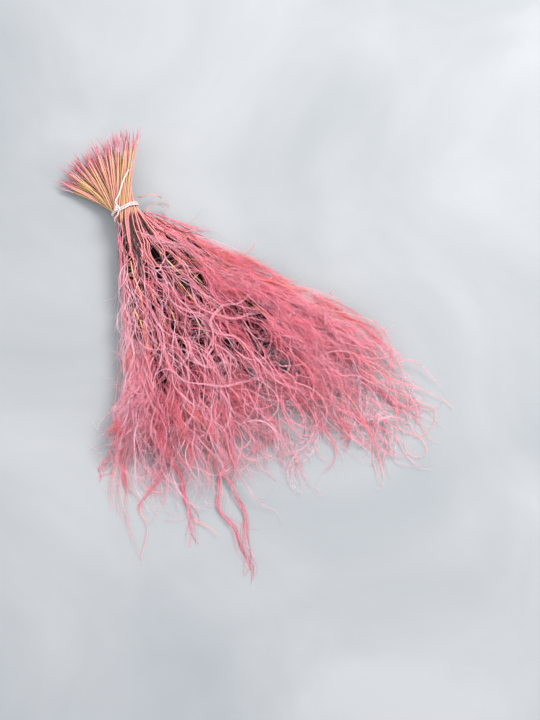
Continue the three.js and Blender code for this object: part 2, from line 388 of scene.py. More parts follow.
def soft_lamp(name, direction, distance, size, power, tint):
    data = bpy.data.lights.new(name, "AREA")
    data.shape = "DISK"
    data.size = size
    data.energy = power
    data.color = tint
    lamp = bpy.data.objects.new(name, data)
    bpy.context.scene.collection.objects.link(lamp)
    lamp.location = aim + direction.normalized() * distance
    lamp.rotation_euler = direction.to_track_quat("Z", "Y").to_euler()


soft_lamp(
    "window",
    VIEW_RIGHT * 0.8 + VIEW_UP * 0.9 + Vector((0, 0, 1.3)),
    distance=2.0,
    size=0.9,
    power=65.0,
    tint=(1.0, 0.98, 0.95),
)
print("lights:", [lamp.name for lamp in bpy.data.lights])

# %% [markdown]
# ## Dyed fibres: one finish for everything that grew
# Stems, awns and hairs are plant fibres in one dye bath, so their finishes share two small node groups:
# `fibre_place` splits a fibre's own UV map into its tone, from painted shade and old leaf to the dyes, and
# the way along it, and `fibre_grain` adds fine streaks along the fibre. The map is called OFBake, and many
# fibres may share a place on it, because a fibre's colour depends on nothing but its tone and the way along.

# %% Shared node groups
def group_tree(name, inputs, outputs):
    tree = bpy.data.node_groups.new(name, "ShaderNodeTree")
    for label, kind, default in inputs:
        socket = tree.interface.new_socket(label, in_out="INPUT", socket_type=kind)
        socket.default_value = default
    for label, kind in outputs:
        tree.interface.new_socket(label, in_out="OUTPUT", socket_type=kind)
    return tree, tree.nodes.new("NodeGroupInput"), tree.nodes.new("NodeGroupOutput")


def make_fibre_place():
    tree, _, out = group_tree("fibre_place", [], [("Tone", "NodeSocketFloat"), ("Along", "NodeSocketFloat")])
    uv = add_node(tree, "ShaderNodeUVMap", uv_map="OFBake")
    split = add_node(tree, "ShaderNodeSeparateXYZ")
    tree.links.new(uv.outputs["UV"], split.inputs["Vector"])
    tree.links.new(split.outputs["X"], out.inputs["Tone"])
    tree.links.new(split.outputs["Y"], out.inputs["Along"])
    return tree


def make_fibre_grain():
    inputs = [("Across", "NodeSocketFloat", 300.0), ("Lengthwise", "NodeSocketFloat", 4.0)]
    tree, into, out = group_tree("fibre_grain", inputs, [("Streak", "NodeSocketFloat")])
    uv = add_node(tree, "ShaderNodeUVMap", uv_map="OFBake")
    split = add_node(tree, "ShaderNodeSeparateXYZ")
    join = add_node(tree, "ShaderNodeCombineXYZ")
    tree.links.new(uv.outputs["UV"], split.inputs["Vector"])
    for axis, scale in (("X", "Across"), ("Y", "Lengthwise")):
        product = add_node(tree, "ShaderNodeMath", operation="MULTIPLY")
        tree.links.new(split.outputs[axis], product.inputs[0])
        tree.links.new(into.outputs[scale], product.inputs[1])
        tree.links.new(product.outputs["Value"], join.inputs[axis])
    noise = add_node(tree, "ShaderNodeTexNoise")
    noise.inputs["Scale"].default_value = 1.0
    noise.inputs["Detail"].default_value = 2.0
    tree.links.new(join.outputs["Vector"], noise.inputs["Vector"])
    tree.links.new(noise.outputs["Fac"], out.inputs["Streak"])
    return tree


FIBRE_PLACE = make_fibre_place()
FIBRE_GRAIN = make_fibre_grain()


def place_group(tree, group, **values):
    node = tree.nodes.new("ShaderNodeGroup")
    node.node_tree = group
    for label, value in values.items():
        node.inputs[label].default_value = value
    return node


# %% Fibre materials
def mix_colour(tree, factor, first, second, blend="MIX"):
    """Mixes two colours. Each may be a socket or a plain colour, and the factor a socket or a number."""
    node = add_node(tree, "ShaderNodeMix", data_type="RGBA", blend_type=blend)
    for socket, value in ((node.inputs["Factor"], factor), (node.inputs[6], first), (node.inputs[7], second)):
        if isinstance(value, bpy.types.NodeSocket):
            tree.links.new(value, socket)
        elif isinstance(value, tuple):
            socket.default_value = (*value, 1.0)
        else:
            socket.default_value = value
    return node.outputs[2]


def scaled(tree, value, low, high):
    """Turns a streak of about 0.3 to 0.7 into the range from low to high."""
    node = add_node(tree, "ShaderNodeMapRange")
    node.inputs["From Min"].default_value = 0.3
    node.inputs["From Max"].default_value = 0.7
    node.inputs["To Min"].default_value = low
    node.inputs["To Max"].default_value = high
    tree.links.new(value, node.inputs["Value"])
    return node.outputs["Result"]


def times(tree, first, second):
    """Multiplies a socket by another socket or by a number."""
    node = add_node(tree, "ShaderNodeMath", operation="MULTIPLY")
    tree.links.new(first, node.inputs[0])
    if isinstance(second, bpy.types.NodeSocket):
        tree.links.new(second, node.inputs[1])
    else:
        node.inputs[1].default_value = second
    return node.outputs["Value"]


# The tones, from near-black painted shade and old brown leaf through straw, coral and rose to pale mauve.
DYE_AND_SHADE_TONES = [
    (0.00, colour(10, 6, 6)),
    (0.05, colour(42, 25, 20)),
    (0.11, colour(118, 66, 58)),
    (0.18, colour(238, 192, 128)),
    (0.27, colour(248, 174, 148)),
    (0.38, colour(250, 150, 150)),
    (0.50, colour(228, 106, 136)),
    (0.62, colour(252, 156, 178)),
    (0.74, colour(246, 178, 194)),
    (0.86, colour(246, 202, 216)),
    (1.00, colour(254, 232, 238)),
]


# Painted shade: fibres with the near-black tones below this threshold don't get paler towards their tips
# either.
OLD_LEAF_AND_SHADE_TONE, DYED_TONE = 0.7 / 6.0, 1.7 / 6.0  # old leaves don't get paler towards their tips
PALE_TIP = colour(250, 214, 222)


def make_fibre(name, roughness, translucency, tip_pale, streak_across, sheen, gloss, depth=1.0):
    material, tree, shader = new_material(name)
    place = place_group(tree, FIBRE_PLACE)
    grain = place_group(tree, FIBRE_GRAIN, Across=streak_across, Lengthwise=5.0)
    tone = ramp(tree, place.outputs["Tone"], DYE_AND_SHADE_TONES)
    dyed_part = add_node(tree, "ShaderNodeMapRange")
    dyed_part.inputs["From Min"].default_value = OLD_LEAF_AND_SHADE_TONE
    dyed_part.inputs["From Max"].default_value = DYED_TONE
    tree.links.new(place.outputs["Tone"], dyed_part.inputs["Value"])
    paler = times(tree, place.outputs["Along"], tip_pale)
    faded = mix_colour(tree, times(tree, paler, dyed_part.outputs["Result"]), tone, PALE_TIP)
    shade = scaled(tree, grain.outputs["Streak"], 0.80 * depth, 1.06 * depth)
    grey = add_node(tree, "ShaderNodeCombineColor")
    for channel in ("Red", "Green", "Blue"):
        tree.links.new(shade, grey.inputs[channel])
    dyed = mix_colour(tree, 1.0, faded, grey.outputs["Color"], blend="MULTIPLY")
    tree.links.new(dyed, shader.inputs["Base Color"])
    shader.inputs["Roughness"].default_value = roughness
    shader.inputs["Specular IOR Level"].default_value = gloss
    shader.inputs["Sheen Weight"].default_value = sheen
    shader.inputs["Sheen Roughness"].default_value = 0.4
    glow = add_node(tree, "ShaderNodeBsdfTranslucent")
    tree.links.new(dyed, glow.inputs["Color"])
    mixed = add_node(tree, "ShaderNodeMixShader")
    mixed.inputs["Fac"].default_value = translucency
    tree.links.new(shader.outputs["BSDF"], mixed.inputs[1])
    tree.links.new(glow.outputs["BSDF"], mixed.inputs[2])
    tree.links.new(mixed.outputs["Shader"], tree.nodes["Material Output"].inputs["Surface"])
    return material


AWN_FINISH = make_fibre("dyed_awn", 0.55, 0.58, 0.30, 260.0, 0.3, 0.2, depth=1.08)
STEM_FINISH = make_fibre("dyed_stem", 0.48, 0.08, 0.0, 420.0, 0.0, 0.3, depth=0.56)
# The underleaf finish also carries painted shade: its near-black fibres stand for shade between the locks.
UNDERLEAF_AND_SHADE_FINISH = make_fibre("dry_underleaf_and_painted_shade", 0.65, 0.05, 0.0, 300.0, 0.0, 0.0)
print("finishes:", [m.name for m in (AWN_FINISH, STEM_FINISH, UNDERLEAF_AND_SHADE_FINISH)])

# %% [markdown]
# ## Geometry Nodes that grow fibres
# A fibre starts as a bare line of edges with a radius and a tone at each point. One tree turns every
# line into a thin tube. The second tree also walks along the lines and sets fine hairs on them, leaning
# towards the tip, as on a real awn. Building them in Geometry Nodes keeps thousands of fibres quick, and
# the seed is fixed, so the grass grows the same each time.

# %% The spike that every hair is a copy of
def make_hair_spike():
    """A closed three-sided spike, 1 long and 1 in radius, which is scaled to each hair's size."""
    mesh = bpy.data.meshes.new("hair_spike")
    base = [(math.cos(a), math.sin(a), 0.0) for a in (0.0, math.tau / 3, 2 * math.tau / 3)]
    mesh.from_pydata([*base, (0.0, 0.0, 1.0)], [], [(0, 2, 1), (0, 1, 3), (1, 2, 3), (2, 0, 3)])
    along = mesh.attributes.new("along", "FLOAT", "POINT")
    along.data.foreach_set("value", [0.0, 0.0, 0.0, 1.0])
    side = mesh.attributes.new("side", "FLOAT", "POINT")
    side.data.foreach_set("value", [0.0, 0.5, 1.0, 0.5])
    spike = bpy.data.objects.new("hair_spike", mesh)
    return spike


HAIR_SPIKE = make_hair_spike()


# %% Tree builder helpers
class Tree:
    """A thin wrapper that adds nodes to a Geometry Nodes tree and links their sockets."""

    def __init__(self, name, inputs):
        self.tree = bpy.data.node_groups.new(name, "GeometryNodeTree")
        self.tree.interface.new_socket("Geometry", in_out="INPUT", socket_type="NodeSocketGeometry")
        for label, kind, default in inputs:
            socket = self.tree.interface.new_socket(label, in_out="INPUT", socket_type=kind)
            if default is not None:
                socket.default_value = default
        self.tree.interface.new_socket("Geometry", in_out="OUTPUT", socket_type="NodeSocketGeometry")
        self.into = self.tree.nodes.new("NodeGroupInput")
        self.out = self.tree.nodes.new("NodeGroupOutput")

    def node(self, kind, settings=None, **sockets):
        node = self.tree.nodes.new(kind)
        for key, value in (settings or {}).items():
            setattr(node, key, value)
        for label, value in sockets.items():
            self.feed(node, label.replace("_", " "), value)
        return node

    def feed(self, node, label, value):
        matching = [s for s in node.inputs if s.name == label or s.identifier == label]
        socket = next((s for s in matching if s.enabled), matching[0])
        if isinstance(value, bpy.types.NodeSocket):
            self.tree.links.new(value, socket)
        else:
            socket.default_value = value

    def attribute(self, name):
        node = self.node("GeometryNodeInputNamedAttribute", {"data_type": "FLOAT"}, Name=name)
        return node.outputs["Attribute"]

    def maths(self, operation, first, second):
        node = self.tree.nodes.new("ShaderNodeMath")
        node.operation = operation
        for socket, value in zip(node.inputs, (first, second)):
            if isinstance(value, bpy.types.NodeSocket):
                self.tree.links.new(value, socket)
            else:
                socket.default_value = value
        return node.outputs["Value"]

    def store(self, geometry, name, value, kind="FLOAT", domain="POINT"):
        node = self.node("GeometryNodeStoreNamedAttribute", {"data_type": kind, "domain": domain})
        self.feed(node, "Geometry", geometry)
        self.feed(node, "Name", name)
        self.feed(node, "Value", value)
        return node.outputs["Geometry"]

    def random(self, low, high, seed):
        node = self.node("FunctionNodeRandomValue", {"data_type": "FLOAT"})
        self.feed(node, "Min_001", low)
        self.feed(node, "Max_001", high)
        self.feed(node, "Seed", seed)
        return node.outputs[1]

    def turned(self, rotation, angles):
        node = self.node("FunctionNodeRotateRotation", {"rotation_space": "LOCAL"}, Rotation=rotation)
        turn = self.node("FunctionNodeEulerToRotation", Euler=angles)
        self.feed(node, "Rotate By", turn.outputs["Rotation"])
        return node.outputs["Rotation"]


UV_WIDTH = 0.004
UV_MARGIN = 0.01
FLOOR_CLEAR = 0.1 * MM
CEILING = cad_high.z + 9.0 * MM  # the highest that a hair may stand


def add_tubes(t, curves):
    """Tubes round the lines, with the places 'along' and 'side' stored for the UV map."""
    factor = t.node("GeometryNodeSplineParameter").outputs["Factor"]
    curves = t.store(curves, "along", factor)
    profile = t.node("GeometryNodeCurvePrimitiveCircle", Resolution=t.into.outputs["Sides"], Radius=1.0)
    ring = t.node("GeometryNodeSplineParameter").outputs["Factor"]
    profile = t.store(profile.outputs["Curve"], "side", ring)
    tubes = t.node("GeometryNodeCurveToMesh", Curve=curves, Profile_Curve=profile, Fill_Caps=True)
    t.feed(tubes, "Scale", t.attribute("thickness"))
    return curves, tubes.outputs["Mesh"]


def finish_tree(t, mesh):
    """Realizes the copies, keeps them between floor and ceiling, and sets the UV map and material."""
    solid = t.node("GeometryNodeRealizeInstances", Geometry=mesh).outputs["Geometry"]
    place = t.node("ShaderNodeSeparateXYZ", Vector=t.node("GeometryNodeInputPosition").outputs["Position"])
    above = t.maths("MINIMUM", t.maths("MAXIMUM", place.outputs["Z"], FLOOR_CLEAR), CEILING)
    lifted = t.node("ShaderNodeCombineXYZ", X=place.outputs["X"], Y=place.outputs["Y"], Z=above)
    moved = t.node("GeometryNodeSetPosition", Geometry=solid, Position=lifted.outputs["Vector"])
    solid = moved.outputs["Geometry"]
    u = t.maths("ADD", t.attribute("tone"), t.maths("MULTIPLY", t.attribute("side"), UV_WIDTH))
    v = t.maths("ADD", t.maths("MULTIPLY", t.attribute("along"), 1 - 2 * UV_MARGIN), UV_MARGIN)
    place = t.node("ShaderNodeCombineXYZ", X=u, Y=v).outputs["Vector"]
    solid = t.store(solid, "OFBake", place, kind="FLOAT2", domain="CORNER")
    smooth_shade = t.node("GeometryNodeSetShadeSmooth", Geometry=solid, Shade_Smooth=True)
    done = t.node("GeometryNodeSetMaterial", Geometry=smooth_shade.outputs["Geometry"])
    t.feed(done, "Material", t.into.outputs["Material"])
    t.tree.links.new(done.outputs["Geometry"], t.out.inputs["Geometry"])
    return t.tree


# %% The tree for bare fibres
def make_bare_tree():
    t = Tree("bare_fibres", [("Sides", "NodeSocketInt", 3), ("Material", "NodeSocketMaterial", None)])
    curves = t.node("GeometryNodeMeshToCurve", Mesh=t.into.outputs["Geometry"]).outputs["Curve"]
    _, tubes = add_tubes(t, curves)
    return finish_tree(t, tubes)


BARE_FIBRES = make_bare_tree()


# %% The tree for feathered fibres
LEAN_RANGE = (0.4, 1.6)
LENGTH_RANGE = (0.45, 1.25)


def make_feathered_tree():
    t = Tree(
        "feathered_fibres",
        [
            ("Sides", "NodeSocketInt", 3),
            ("Hair Spacing", "NodeSocketFloat", 0.0013),
            ("Hair Length", "NodeSocketFloat", 0.006),
            ("Hair Radius", "NodeSocketFloat", 0.00007),
            ("Hair Lean", "NodeSocketFloat", 0.5),
            ("Seed", "NodeSocketInt", 0),
            ("Hair", "NodeSocketObject", None),
            ("Material", "NodeSocketMaterial", None),
        ],
    )
    values = t.into.outputs
    curves = t.node("GeometryNodeMeshToCurve", Mesh=values["Geometry"]).outputs["Curve"]
    curves, tubes = add_tubes(t, curves)
    spacing = values["Hair Spacing"]
    walk = t.node("GeometryNodeCurveToPoints", {"mode": "LENGTH"}, Curve=curves, Length=spacing)
    spin_seed, lean_seed, length_seed, chance_seed = (t.maths("ADD", values["Seed"], i) for i in range(4))
    spin = t.node("ShaderNodeCombineXYZ", Z=t.random(0.0, math.tau, spin_seed)).outputs["Vector"]
    lean_amount = t.maths("MULTIPLY", values["Hair Lean"], t.random(*LEAN_RANGE, lean_seed))
    lean = t.node("ShaderNodeCombineXYZ", X=lean_amount).outputs["Vector"]
    rotation = t.turned(t.turned(walk.outputs["Rotation"], spin), lean)
    feather = t.attribute("feather")
    variety = t.random(*LENGTH_RANGE, length_seed)
    length = t.maths("MULTIPLY", t.maths("MULTIPLY", values["Hair Length"], variety), feather)
    size = t.node("ShaderNodeCombineXYZ", X=values["Hair Radius"], Y=values["Hair Radius"], Z=length)
    chosen = t.node("FunctionNodeCompare", {"data_type": "FLOAT", "operation": "LESS_THAN"})
    t.tree.links.new(t.random(0.0, 1.0, chance_seed), chosen.inputs[0])
    t.tree.links.new(feather, chosen.inputs[1])
    spike = t.node("GeometryNodeObjectInfo", Object=values["Hair"]).outputs["Geometry"]
    hairs = t.node(
        "GeometryNodeInstanceOnPoints",
        Points=walk.outputs["Points"],
        Selection=chosen.outputs["Result"],
        Instance=spike,
        Rotation=rotation,
        Scale=size.outputs["Vector"],
    ).outputs["Instances"]
    both = t.node("GeometryNodeJoinGeometry")
    t.tree.links.new(hairs, both.inputs["Geometry"])
    t.tree.links.new(tubes, both.inputs["Geometry"])
    return finish_tree(t, both.outputs["Geometry"])


FEATHERED_FIBRES = make_feathered_tree()


# %% From lines to a finished piece
def lines_mesh(name, points, thickness, tone, feather=None):
    """Lines as a mesh of edges. Points are fibres x steps x 3 in millimetres from under the neck."""
    fibres, steps, _ = points.shape
    x, y = keep_inside(points[:, :, 0], points[:, :, 1])
    points = np.stack((x, y, points[:, :, 2]), axis=2)
    mesh = bpy.data.meshes.new(name)
    mesh.vertices.add(fibres * steps)
    mesh.vertices.foreach_set("co", (points * MM + origin).ravel())
    first = np.arange(fibres * steps).reshape(fibres, steps)[:, :-1].ravel()
    mesh.edges.add(len(first))
    mesh.edges.foreach_set("vertices", np.column_stack((first, first + 1)).ravel())
    tone = tone[:, None] if tone.ndim == 1 else tone
    values = {"thickness": thickness * MM, "tone": np.broadcast_to(tone, (fibres, steps))}
    if feather is not None:
        values["feather"] = feather
    for key, array in values.items():
        attribute = mesh.attributes.new(key, "FLOAT", "POINT")
        attribute.data.foreach_set("value", np.ascontiguousarray(array, dtype=np.float32).ravel())
    return mesh


def grow(name, mesh, tree, **inputs):
    """Runs a tree on a mesh of lines and returns the result as a plain mesh object."""
    source = bpy.data.objects.new(name + "_lines", mesh)
    bpy.context.scene.collection.objects.link(source)
    modifier = source.modifiers.new("fibres", "NODES")
    modifier.node_group = tree
    sockets = {item.name: item.identifier for item in tree.interface.items_tree if item.in_out == "INPUT"}
    for label, value in inputs.items():
        modifier[sockets[label.replace("_", " ")]] = value
    bpy.context.view_layer.update()
    evaluated = source.evaluated_get(bpy.context.evaluated_depsgraph_get())
    made = bpy.data.meshes.new_from_object(evaluated)
    made.name = name
    bpy.data.objects.remove(source)
    for attribute in [a.name for a in made.attributes]:
        if attribute in ("tone", "along", "side", "feather", "thickness"):
            made.attributes.remove(made.attributes[attribute])
    piece = bpy.data.objects.new(name, made)
    bpy.context.scene.collection.objects.link(piece)
    triangles = sum(len(p.vertices) - 2 for p in made.polygons)
    print(f"{name}: {triangles} triangles")
    return piece


def settle(piece, slot_name, *nodes):
    """Fixes a piece to the bundle and hides the frame nodes that it replaces. Its slot name is not used."""
    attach(piece, "root")
    if nodes:
        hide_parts(*nodes)
    return piece


# %% Three short cuts
def on_floor(x, y, z):
    """Joins x, y and z into points that stay just above the floor."""
    return np.stack((x, y, np.maximum(z, 0.5)), axis=2)


def add_bare(name, points, thickness, tone):
    """Awns without hairs, which stay loose on the plumes."""
    mesh = lines_mesh(name, points, thickness, tone)
    return settle(grow(name, mesh, BARE_FIBRES, Sides=3, Material=AWN_FINISH), "plume")


def grow_feathered(name, mesh, spacing, length, radius, lean, seed, sides=3, finish=AWN_FINISH):
    """Fibres with hairs on them. The hairs' spacing, length and radius are in metres."""
    return grow(
        name,
        mesh,
        FEATHERED_FIBRES,
        Sides=sides,
        Hair_Spacing=spacing,
        Hair_Length=length,
        Hair_Radius=radius,
        Hair_Lean=lean,
        Seed=seed,
        Hair=HAIR_SPIKE,
        Material=finish,
    )


# %% [markdown]
# ## Stems
# About a hundred and ten thin straws go through the neck. They are packed in rows like the frame's
# stems, and follow the same rule: the higher a straw lies at the neck, the further it swings to one
# side. Each has a joint, a slightly uneven width and a leaf sheath that ends in torn, pointed strips.

# %% The way a straw runs
CUT_LENGTH = 85.0
CUT_SLOPE = math.tan(math.radians(35.0))
ROW_SPREAD = 0.4
NECK_HALF_WIDTH = 12.9
NECK_DROP = 7.0
CUT_FLARE = (NECK_HEIGHT - 1.0) / NECK_HALF_HEIGHT - 1.0


def straw_points(x, across, above):
    """Places along straws. x is straws x steps; across and above are where each goes through the neck."""
    across, above = across[:, None], above[:, None]
    cut_share = np.maximum(0.0, -x / CUT_LENGTH)
    slope = FAN_SLOPE + (CUT_SLOPE - FAN_SLOPE) * smooth(cut_share)
    spread = 1 + ROW_SPREAD * (x / PLUME_START) ** 2
    spread = np.minimum(spread, 1 + ROW_SPREAD * (np.abs(x) / PLUME_START))
    y = across * spread - slope * x * above / NECK_HALF_HEIGHT
    z = NECK_HEIGHT - NECK_DROP * smooth(x / PLUME_START) + above * (1 + CUT_FLARE * cut_share ** 2)
    return y, z


# %% Bending rules
def sway(rng, run, waves):
    """Sideways bending along fibres, as angles: each wave has a range of wavelengths and a strength."""
    total = np.zeros_like(run)
    for shortest, longest, strength in waves:
        wavelength = rng.uniform(shortest, longest, (len(run), 1))
        phase = rng.uniform(0.0, math.tau, (len(run), 1))
        strength = strength * rng.normal(1.0, 0.4, (len(run), 1))
        total = total + strength * np.sin(math.tau * run / wavelength + phase)
    return total


def bend_line(x, y, angle):
    """Turns every step of a flat line by its own angle and puts the steps together again."""
    dx, dy = np.diff(x, axis=1), np.diff(y, axis=1)
    turn = (angle[:, 1:] + angle[:, :-1]) / 2
    new_dx = dx * np.cos(turn) - dy * np.sin(turn)
    new_dy = dx * np.sin(turn) + dy * np.cos(turn)
    zero = np.zeros((len(x), 1))
    new_x = x[:, :1] + np.concatenate((zero, np.cumsum(new_dx, axis=1)), axis=1)
    new_y = y[:, :1] + np.concatenate((zero, np.cumsum(new_dy, axis=1)), axis=1)
    return new_x, new_y


def hooks(rng, count, steps, chance, turn):
    """Extra turning near the tips of some fibres, which curls them into hooks and loops."""
    t = np.linspace(0.0, 1.0, steps)[None, :]
    hooked = (rng.random((count, 1)) < chance) * rng.choice([-1.0, 1.0], (count, 1))
    start = rng.uniform(0.45, 0.8, (count, 1))
    return hooked * rng.uniform(0.4, 1.0, (count, 1)) * turn * smooth((t - start) / (1 - start)) ** 1.3


# %% Dark slits between the locks
SLIT_CLEAR = 9.0
SLIT_STRETCH = 1.15
# Each slit has a middle (x, y), a heading in degrees, half a length and half a width.
SLITS = [
    (66, -26, -25, 14, 2.6),
    (64, 5, -1, 13, 2.6),
    (78, 19, 10, 12, 3.0),
    (78, -12, -14, 12, 2.2),
    (88, -2, -15, 10, 2.4),
    (103, 18, -3, 17, 2.8),
    (106, 35, 14, 10, 2.2),
    (108, -11, -15, 13, 2.0),
    (129, 19, -12, 11, 2.0),
    (165, 6, -13, 26, 4.2),
    (184, 72, 10, 7, 2.8),
    (195, -54, -8, 10, 3.2),
    (201, 32, 25, 11, 4.0),
    (209, 7, 8, 18, 4.6),
    (215, 60, 18, 17, 3.4),
    (230, 56, 15, 15, 3.6),
    (247, 70, 4, 8, 2.6),
    (241, -24, -30, 7, 2.0),
]


def part_at_slits(x, y):
    """Pushes fibres sideways out of the slits. Also returns 0 at a slit's rim, growing to 1 away from it."""
    clear = np.ones_like(x)
    for slit_x, slit_y, heading, half_length, half_width in SLITS:
        cos, sin = math.cos(math.radians(heading)), math.sin(math.radians(heading))
        along = (x - slit_x) * cos + (y - slit_y) * sin
        across = (y - slit_y) * cos - (x - slit_x) * sin
        way = along / (half_length * SLIT_STRETCH)
        opening = half_width * SLIT_STRETCH * np.sqrt(np.maximum(0.0, 1.0 - way ** 2))
        disturbed = 4.0 * half_width + 3.0
        pushed = np.sign(across) * (opening + np.abs(across) * (1.0 - opening / disturbed))
        near = np.abs(across) < disturbed
        shift = np.where(near, pushed - across, 0.0)
        x, y = x - sin * shift, y + cos * shift
        rim = np.where(opening > 0.0, np.maximum(np.abs(across + shift) - opening, 0.0), SLIT_CLEAR)
        clear = np.minimum(clear, smooth(rim / SLIT_CLEAR))
    return x, y, clear


# %% Grow the straws
STRAW_ROWS = 10
STRAW_RADIUS = 0.86
STRAW_PITCH = 2.05
STRAW_STEPS = 44
STRAW_BEND = 4.6
LONG_WAVE, SHORT_WAVE = (1.5, 11.0), (1.1, 5.5)  # height and length of the straws' waves
STRAW_TONES = [0.15, 0.18, 0.21, 0.27, 0.31, 0.37]
TONE_CHANCES = [0.1, 0.2, 0.14, 0.22, 0.2, 0.14]
OLD_LEAF_AND_SHADE_CHANCE, UNDYED_FROM = 0.42, 0.86


def pack_straws(rng):
    """The places of the straws in the neck: staggered rows inside an oval."""
    places = []
    pitch = 2 * NECK_HALF_HEIGHT / (STRAW_ROWS - 1)
    for row in range(STRAW_ROWS):
        above = -NECK_HALF_HEIGHT + row * pitch
        half = NECK_HALF_WIDTH * math.sqrt(max(0.0, 1.0 - (above / (NECK_HALF_HEIGHT * 1.12)) ** 2)) + 0.6
        count = max(4, int(2 * half / STRAW_PITCH) + (row % 2))
        for i in range(count):
            across = (i - (count - 1) / 2) * STRAW_PITCH
            places.append((across + rng.uniform(-0.12, 0.12), above + rng.uniform(-0.08, 0.08)))
    return np.array(places)


stem_rng = np.random.default_rng(11)
straw_places = pack_straws(stem_rng)
STRAW_COUNT = len(straw_places)
straw_ends = stem_rng.uniform(52.0, 165.0, STRAW_COUNT)
straw_cuts = stem_rng.uniform(67.0, 83.0, STRAW_COUNT)


def make_straws():
    rng = np.random.default_rng(12)
    across, above = straw_places[:, 0], straw_places[:, 1]
    lean = np.arctan(CUT_SLOPE * above / NECK_HALF_HEIGHT)
    t = np.linspace(0.0, 1.0, STRAW_STEPS)[None, :]
    start = -(straw_cuts * np.cos(lean))[:, None]
    x = start + (straw_ends[:, None] - start) * t
    y, z = straw_points(x, across, above)
    share = y / (NECK_HALF_WIDTH + FAN_SLOPE * np.maximum(x, 0.0))
    y = y + (fan_y(x, share) - y) * smooth(x / 30.0)
    layer = rng.uniform(0.35, 0.9, STRAW_COUNT)[:, None]
    in_pile = smooth((x - PLUME_START * 0.7) / 70.0)
    z = z * (1 - in_pile) + pile_height(np.maximum(x, 1.0), y, layer) * in_pile
    bend = rng.normal(0.0, 1.0, (STRAW_COUNT, 1))
    wave = rng.uniform(0.0, math.tau, (STRAW_COUNT, 1))
    second_wave = rng.uniform(0.0, math.tau, (STRAW_COUNT, 1))
    wavy = LONG_WAVE[0] * np.sin(x / LONG_WAVE[1] + wave)
    wavy = wavy + SHORT_WAVE[0] * np.sin(x / SHORT_WAVE[1] + second_wave)
    y = y + smooth((x - 10.0) / 60.0) * (bend * STRAW_BEND + wavy)
    z = z + smooth((x - 10.0) / 50.0) * 0.9 * np.sin(x / 9.0 + second_wave)
    z = z + smooth((-x - 20.0) / 50.0) * rng.normal(0.0, 1.0, (STRAW_COUNT, 1)) * 0.8
    y = y + smooth((-x - 15.0) / 60.0) * rng.normal(0.0, 1.8, (STRAW_COUNT, 1))
    parted_x, parted_y, _ = part_at_slits(*within_sides(x, y))
    x, y = np.where(x > 0.0, parted_x, x), np.where(x > 0.0, parted_y, y)
    points = np.stack((x, y, np.maximum(z, 1.0)), axis=2)
    radius = STRAW_RADIUS * rng.uniform(0.80, 1.04, (STRAW_COUNT, 1)) * (1.0 - 0.5 * smooth(x / 120.0))
    joint = rng.uniform(0.35, 0.65, (STRAW_COUNT, 1))
    radius = radius * (1 + 0.22 * np.exp(-(((t - joint) / 0.02) ** 2)))
    radius = radius * (0.55 + 0.45 * smooth((x - start) / 9.0))
    tone = rng.choice(STRAW_TONES, STRAW_COUNT, p=TONE_CHANCES)
    dyed = np.clip(rng.normal(0.39, 0.04, (STRAW_COUNT, 1)), 0.30, 0.47)
    at_tip = smooth((-x - 48.0) / 32.0)
    past_neck = smooth((x + 4.0) / 22.0)
    chance = rng.random((STRAW_COUNT, 1))
    # Painted shade: past the neck many straws turn near-black, partly as old leaves and partly as shade
    # between the locks.
    old_leaf_and_shade = rng.uniform(0.01, 0.10, (STRAW_COUNT, 1))
    beyond = np.where(chance < UNDYED_FROM, dyed, tone[:, None])
    beyond = np.where(chance < OLD_LEAF_AND_SHADE_CHANCE, old_leaf_and_shade, beyond)
    tone = tone[:, None] * np.ones_like(t)
    tone = tone + (dyed - tone) * at_tip * 0.85 + (beyond - tone) * past_neck
    mesh = lines_mesh("straws", points, radius, tone)
    return grow("stems", mesh, BARE_FIBRES, Sides=8, Material=STEM_FINISH), points


stems, straw_lines = make_straws()
settle(stems, "stem", *STEMS)
print("straws:", STRAW_COUNT)

# %% [markdown]
# The dry sheath round each straw was torn when the bunch was cut. Pointed strips stand out past the cut
# ends and bend a little outwards. They are short tapering fibres that carry on in the straw's direction.

# %% Torn sheaths at the cut ends
STRIPS_PER_STRAW = 3
STRIP_STEPS = 9
STRIP_OVERLAP = 4.0


def make_torn_sheaths():
    rng = np.random.default_rng(13)
    t = np.linspace(0.0, 1.0, STRIP_STEPS)[None, :]
    ends = np.repeat(straw_lines[:, 0], STRIPS_PER_STRAW, axis=0)
    before = np.repeat(straw_lines[:, 2], STRIPS_PER_STRAW, axis=0)
    outward = ends - before
    outward /= np.linalg.norm(outward, axis=1)[:, None]
    count = len(ends)
    length = rng.uniform(5.0, 17.0, (count, 1))
    side = rng.normal(0.0, 1.0, (count, 3))
    side -= outward * (side * outward).sum(axis=1)[:, None]
    side /= np.linalg.norm(side, axis=1)[:, None]
    way = (t * (length + STRIP_OVERLAP) - STRIP_OVERLAP)[:, :, None]
    splay = 0.55 + np.maximum(way, 0.0) * rng.uniform(0.02, 0.22, (count, 1, 1))
    points = ends[:, None, :] + outward[:, None, :] * way + side[:, None, :] * splay
    points[:, :, 2] = np.maximum(points[:, :, 2], 0.6)
    thickness = rng.uniform(0.38, 0.62, (count, 1)) * (1.0 - 0.9 * t ** 1.4)
    pale = rng.random(count) < 0.4
    pale_tone = rng.uniform(0.7, 0.92, count)
    tone = np.where(pale, pale_tone, np.clip(rng.normal(0.42, 0.06, count), 0.3, 0.6))
    mesh = lines_mesh("torn_sheaths", points, thickness, tone)
    return settle(grow("torn_sheaths", mesh, BARE_FIBRES, Sides=4, Material=STEM_FINISH), "stem")


make_torn_sheaths()

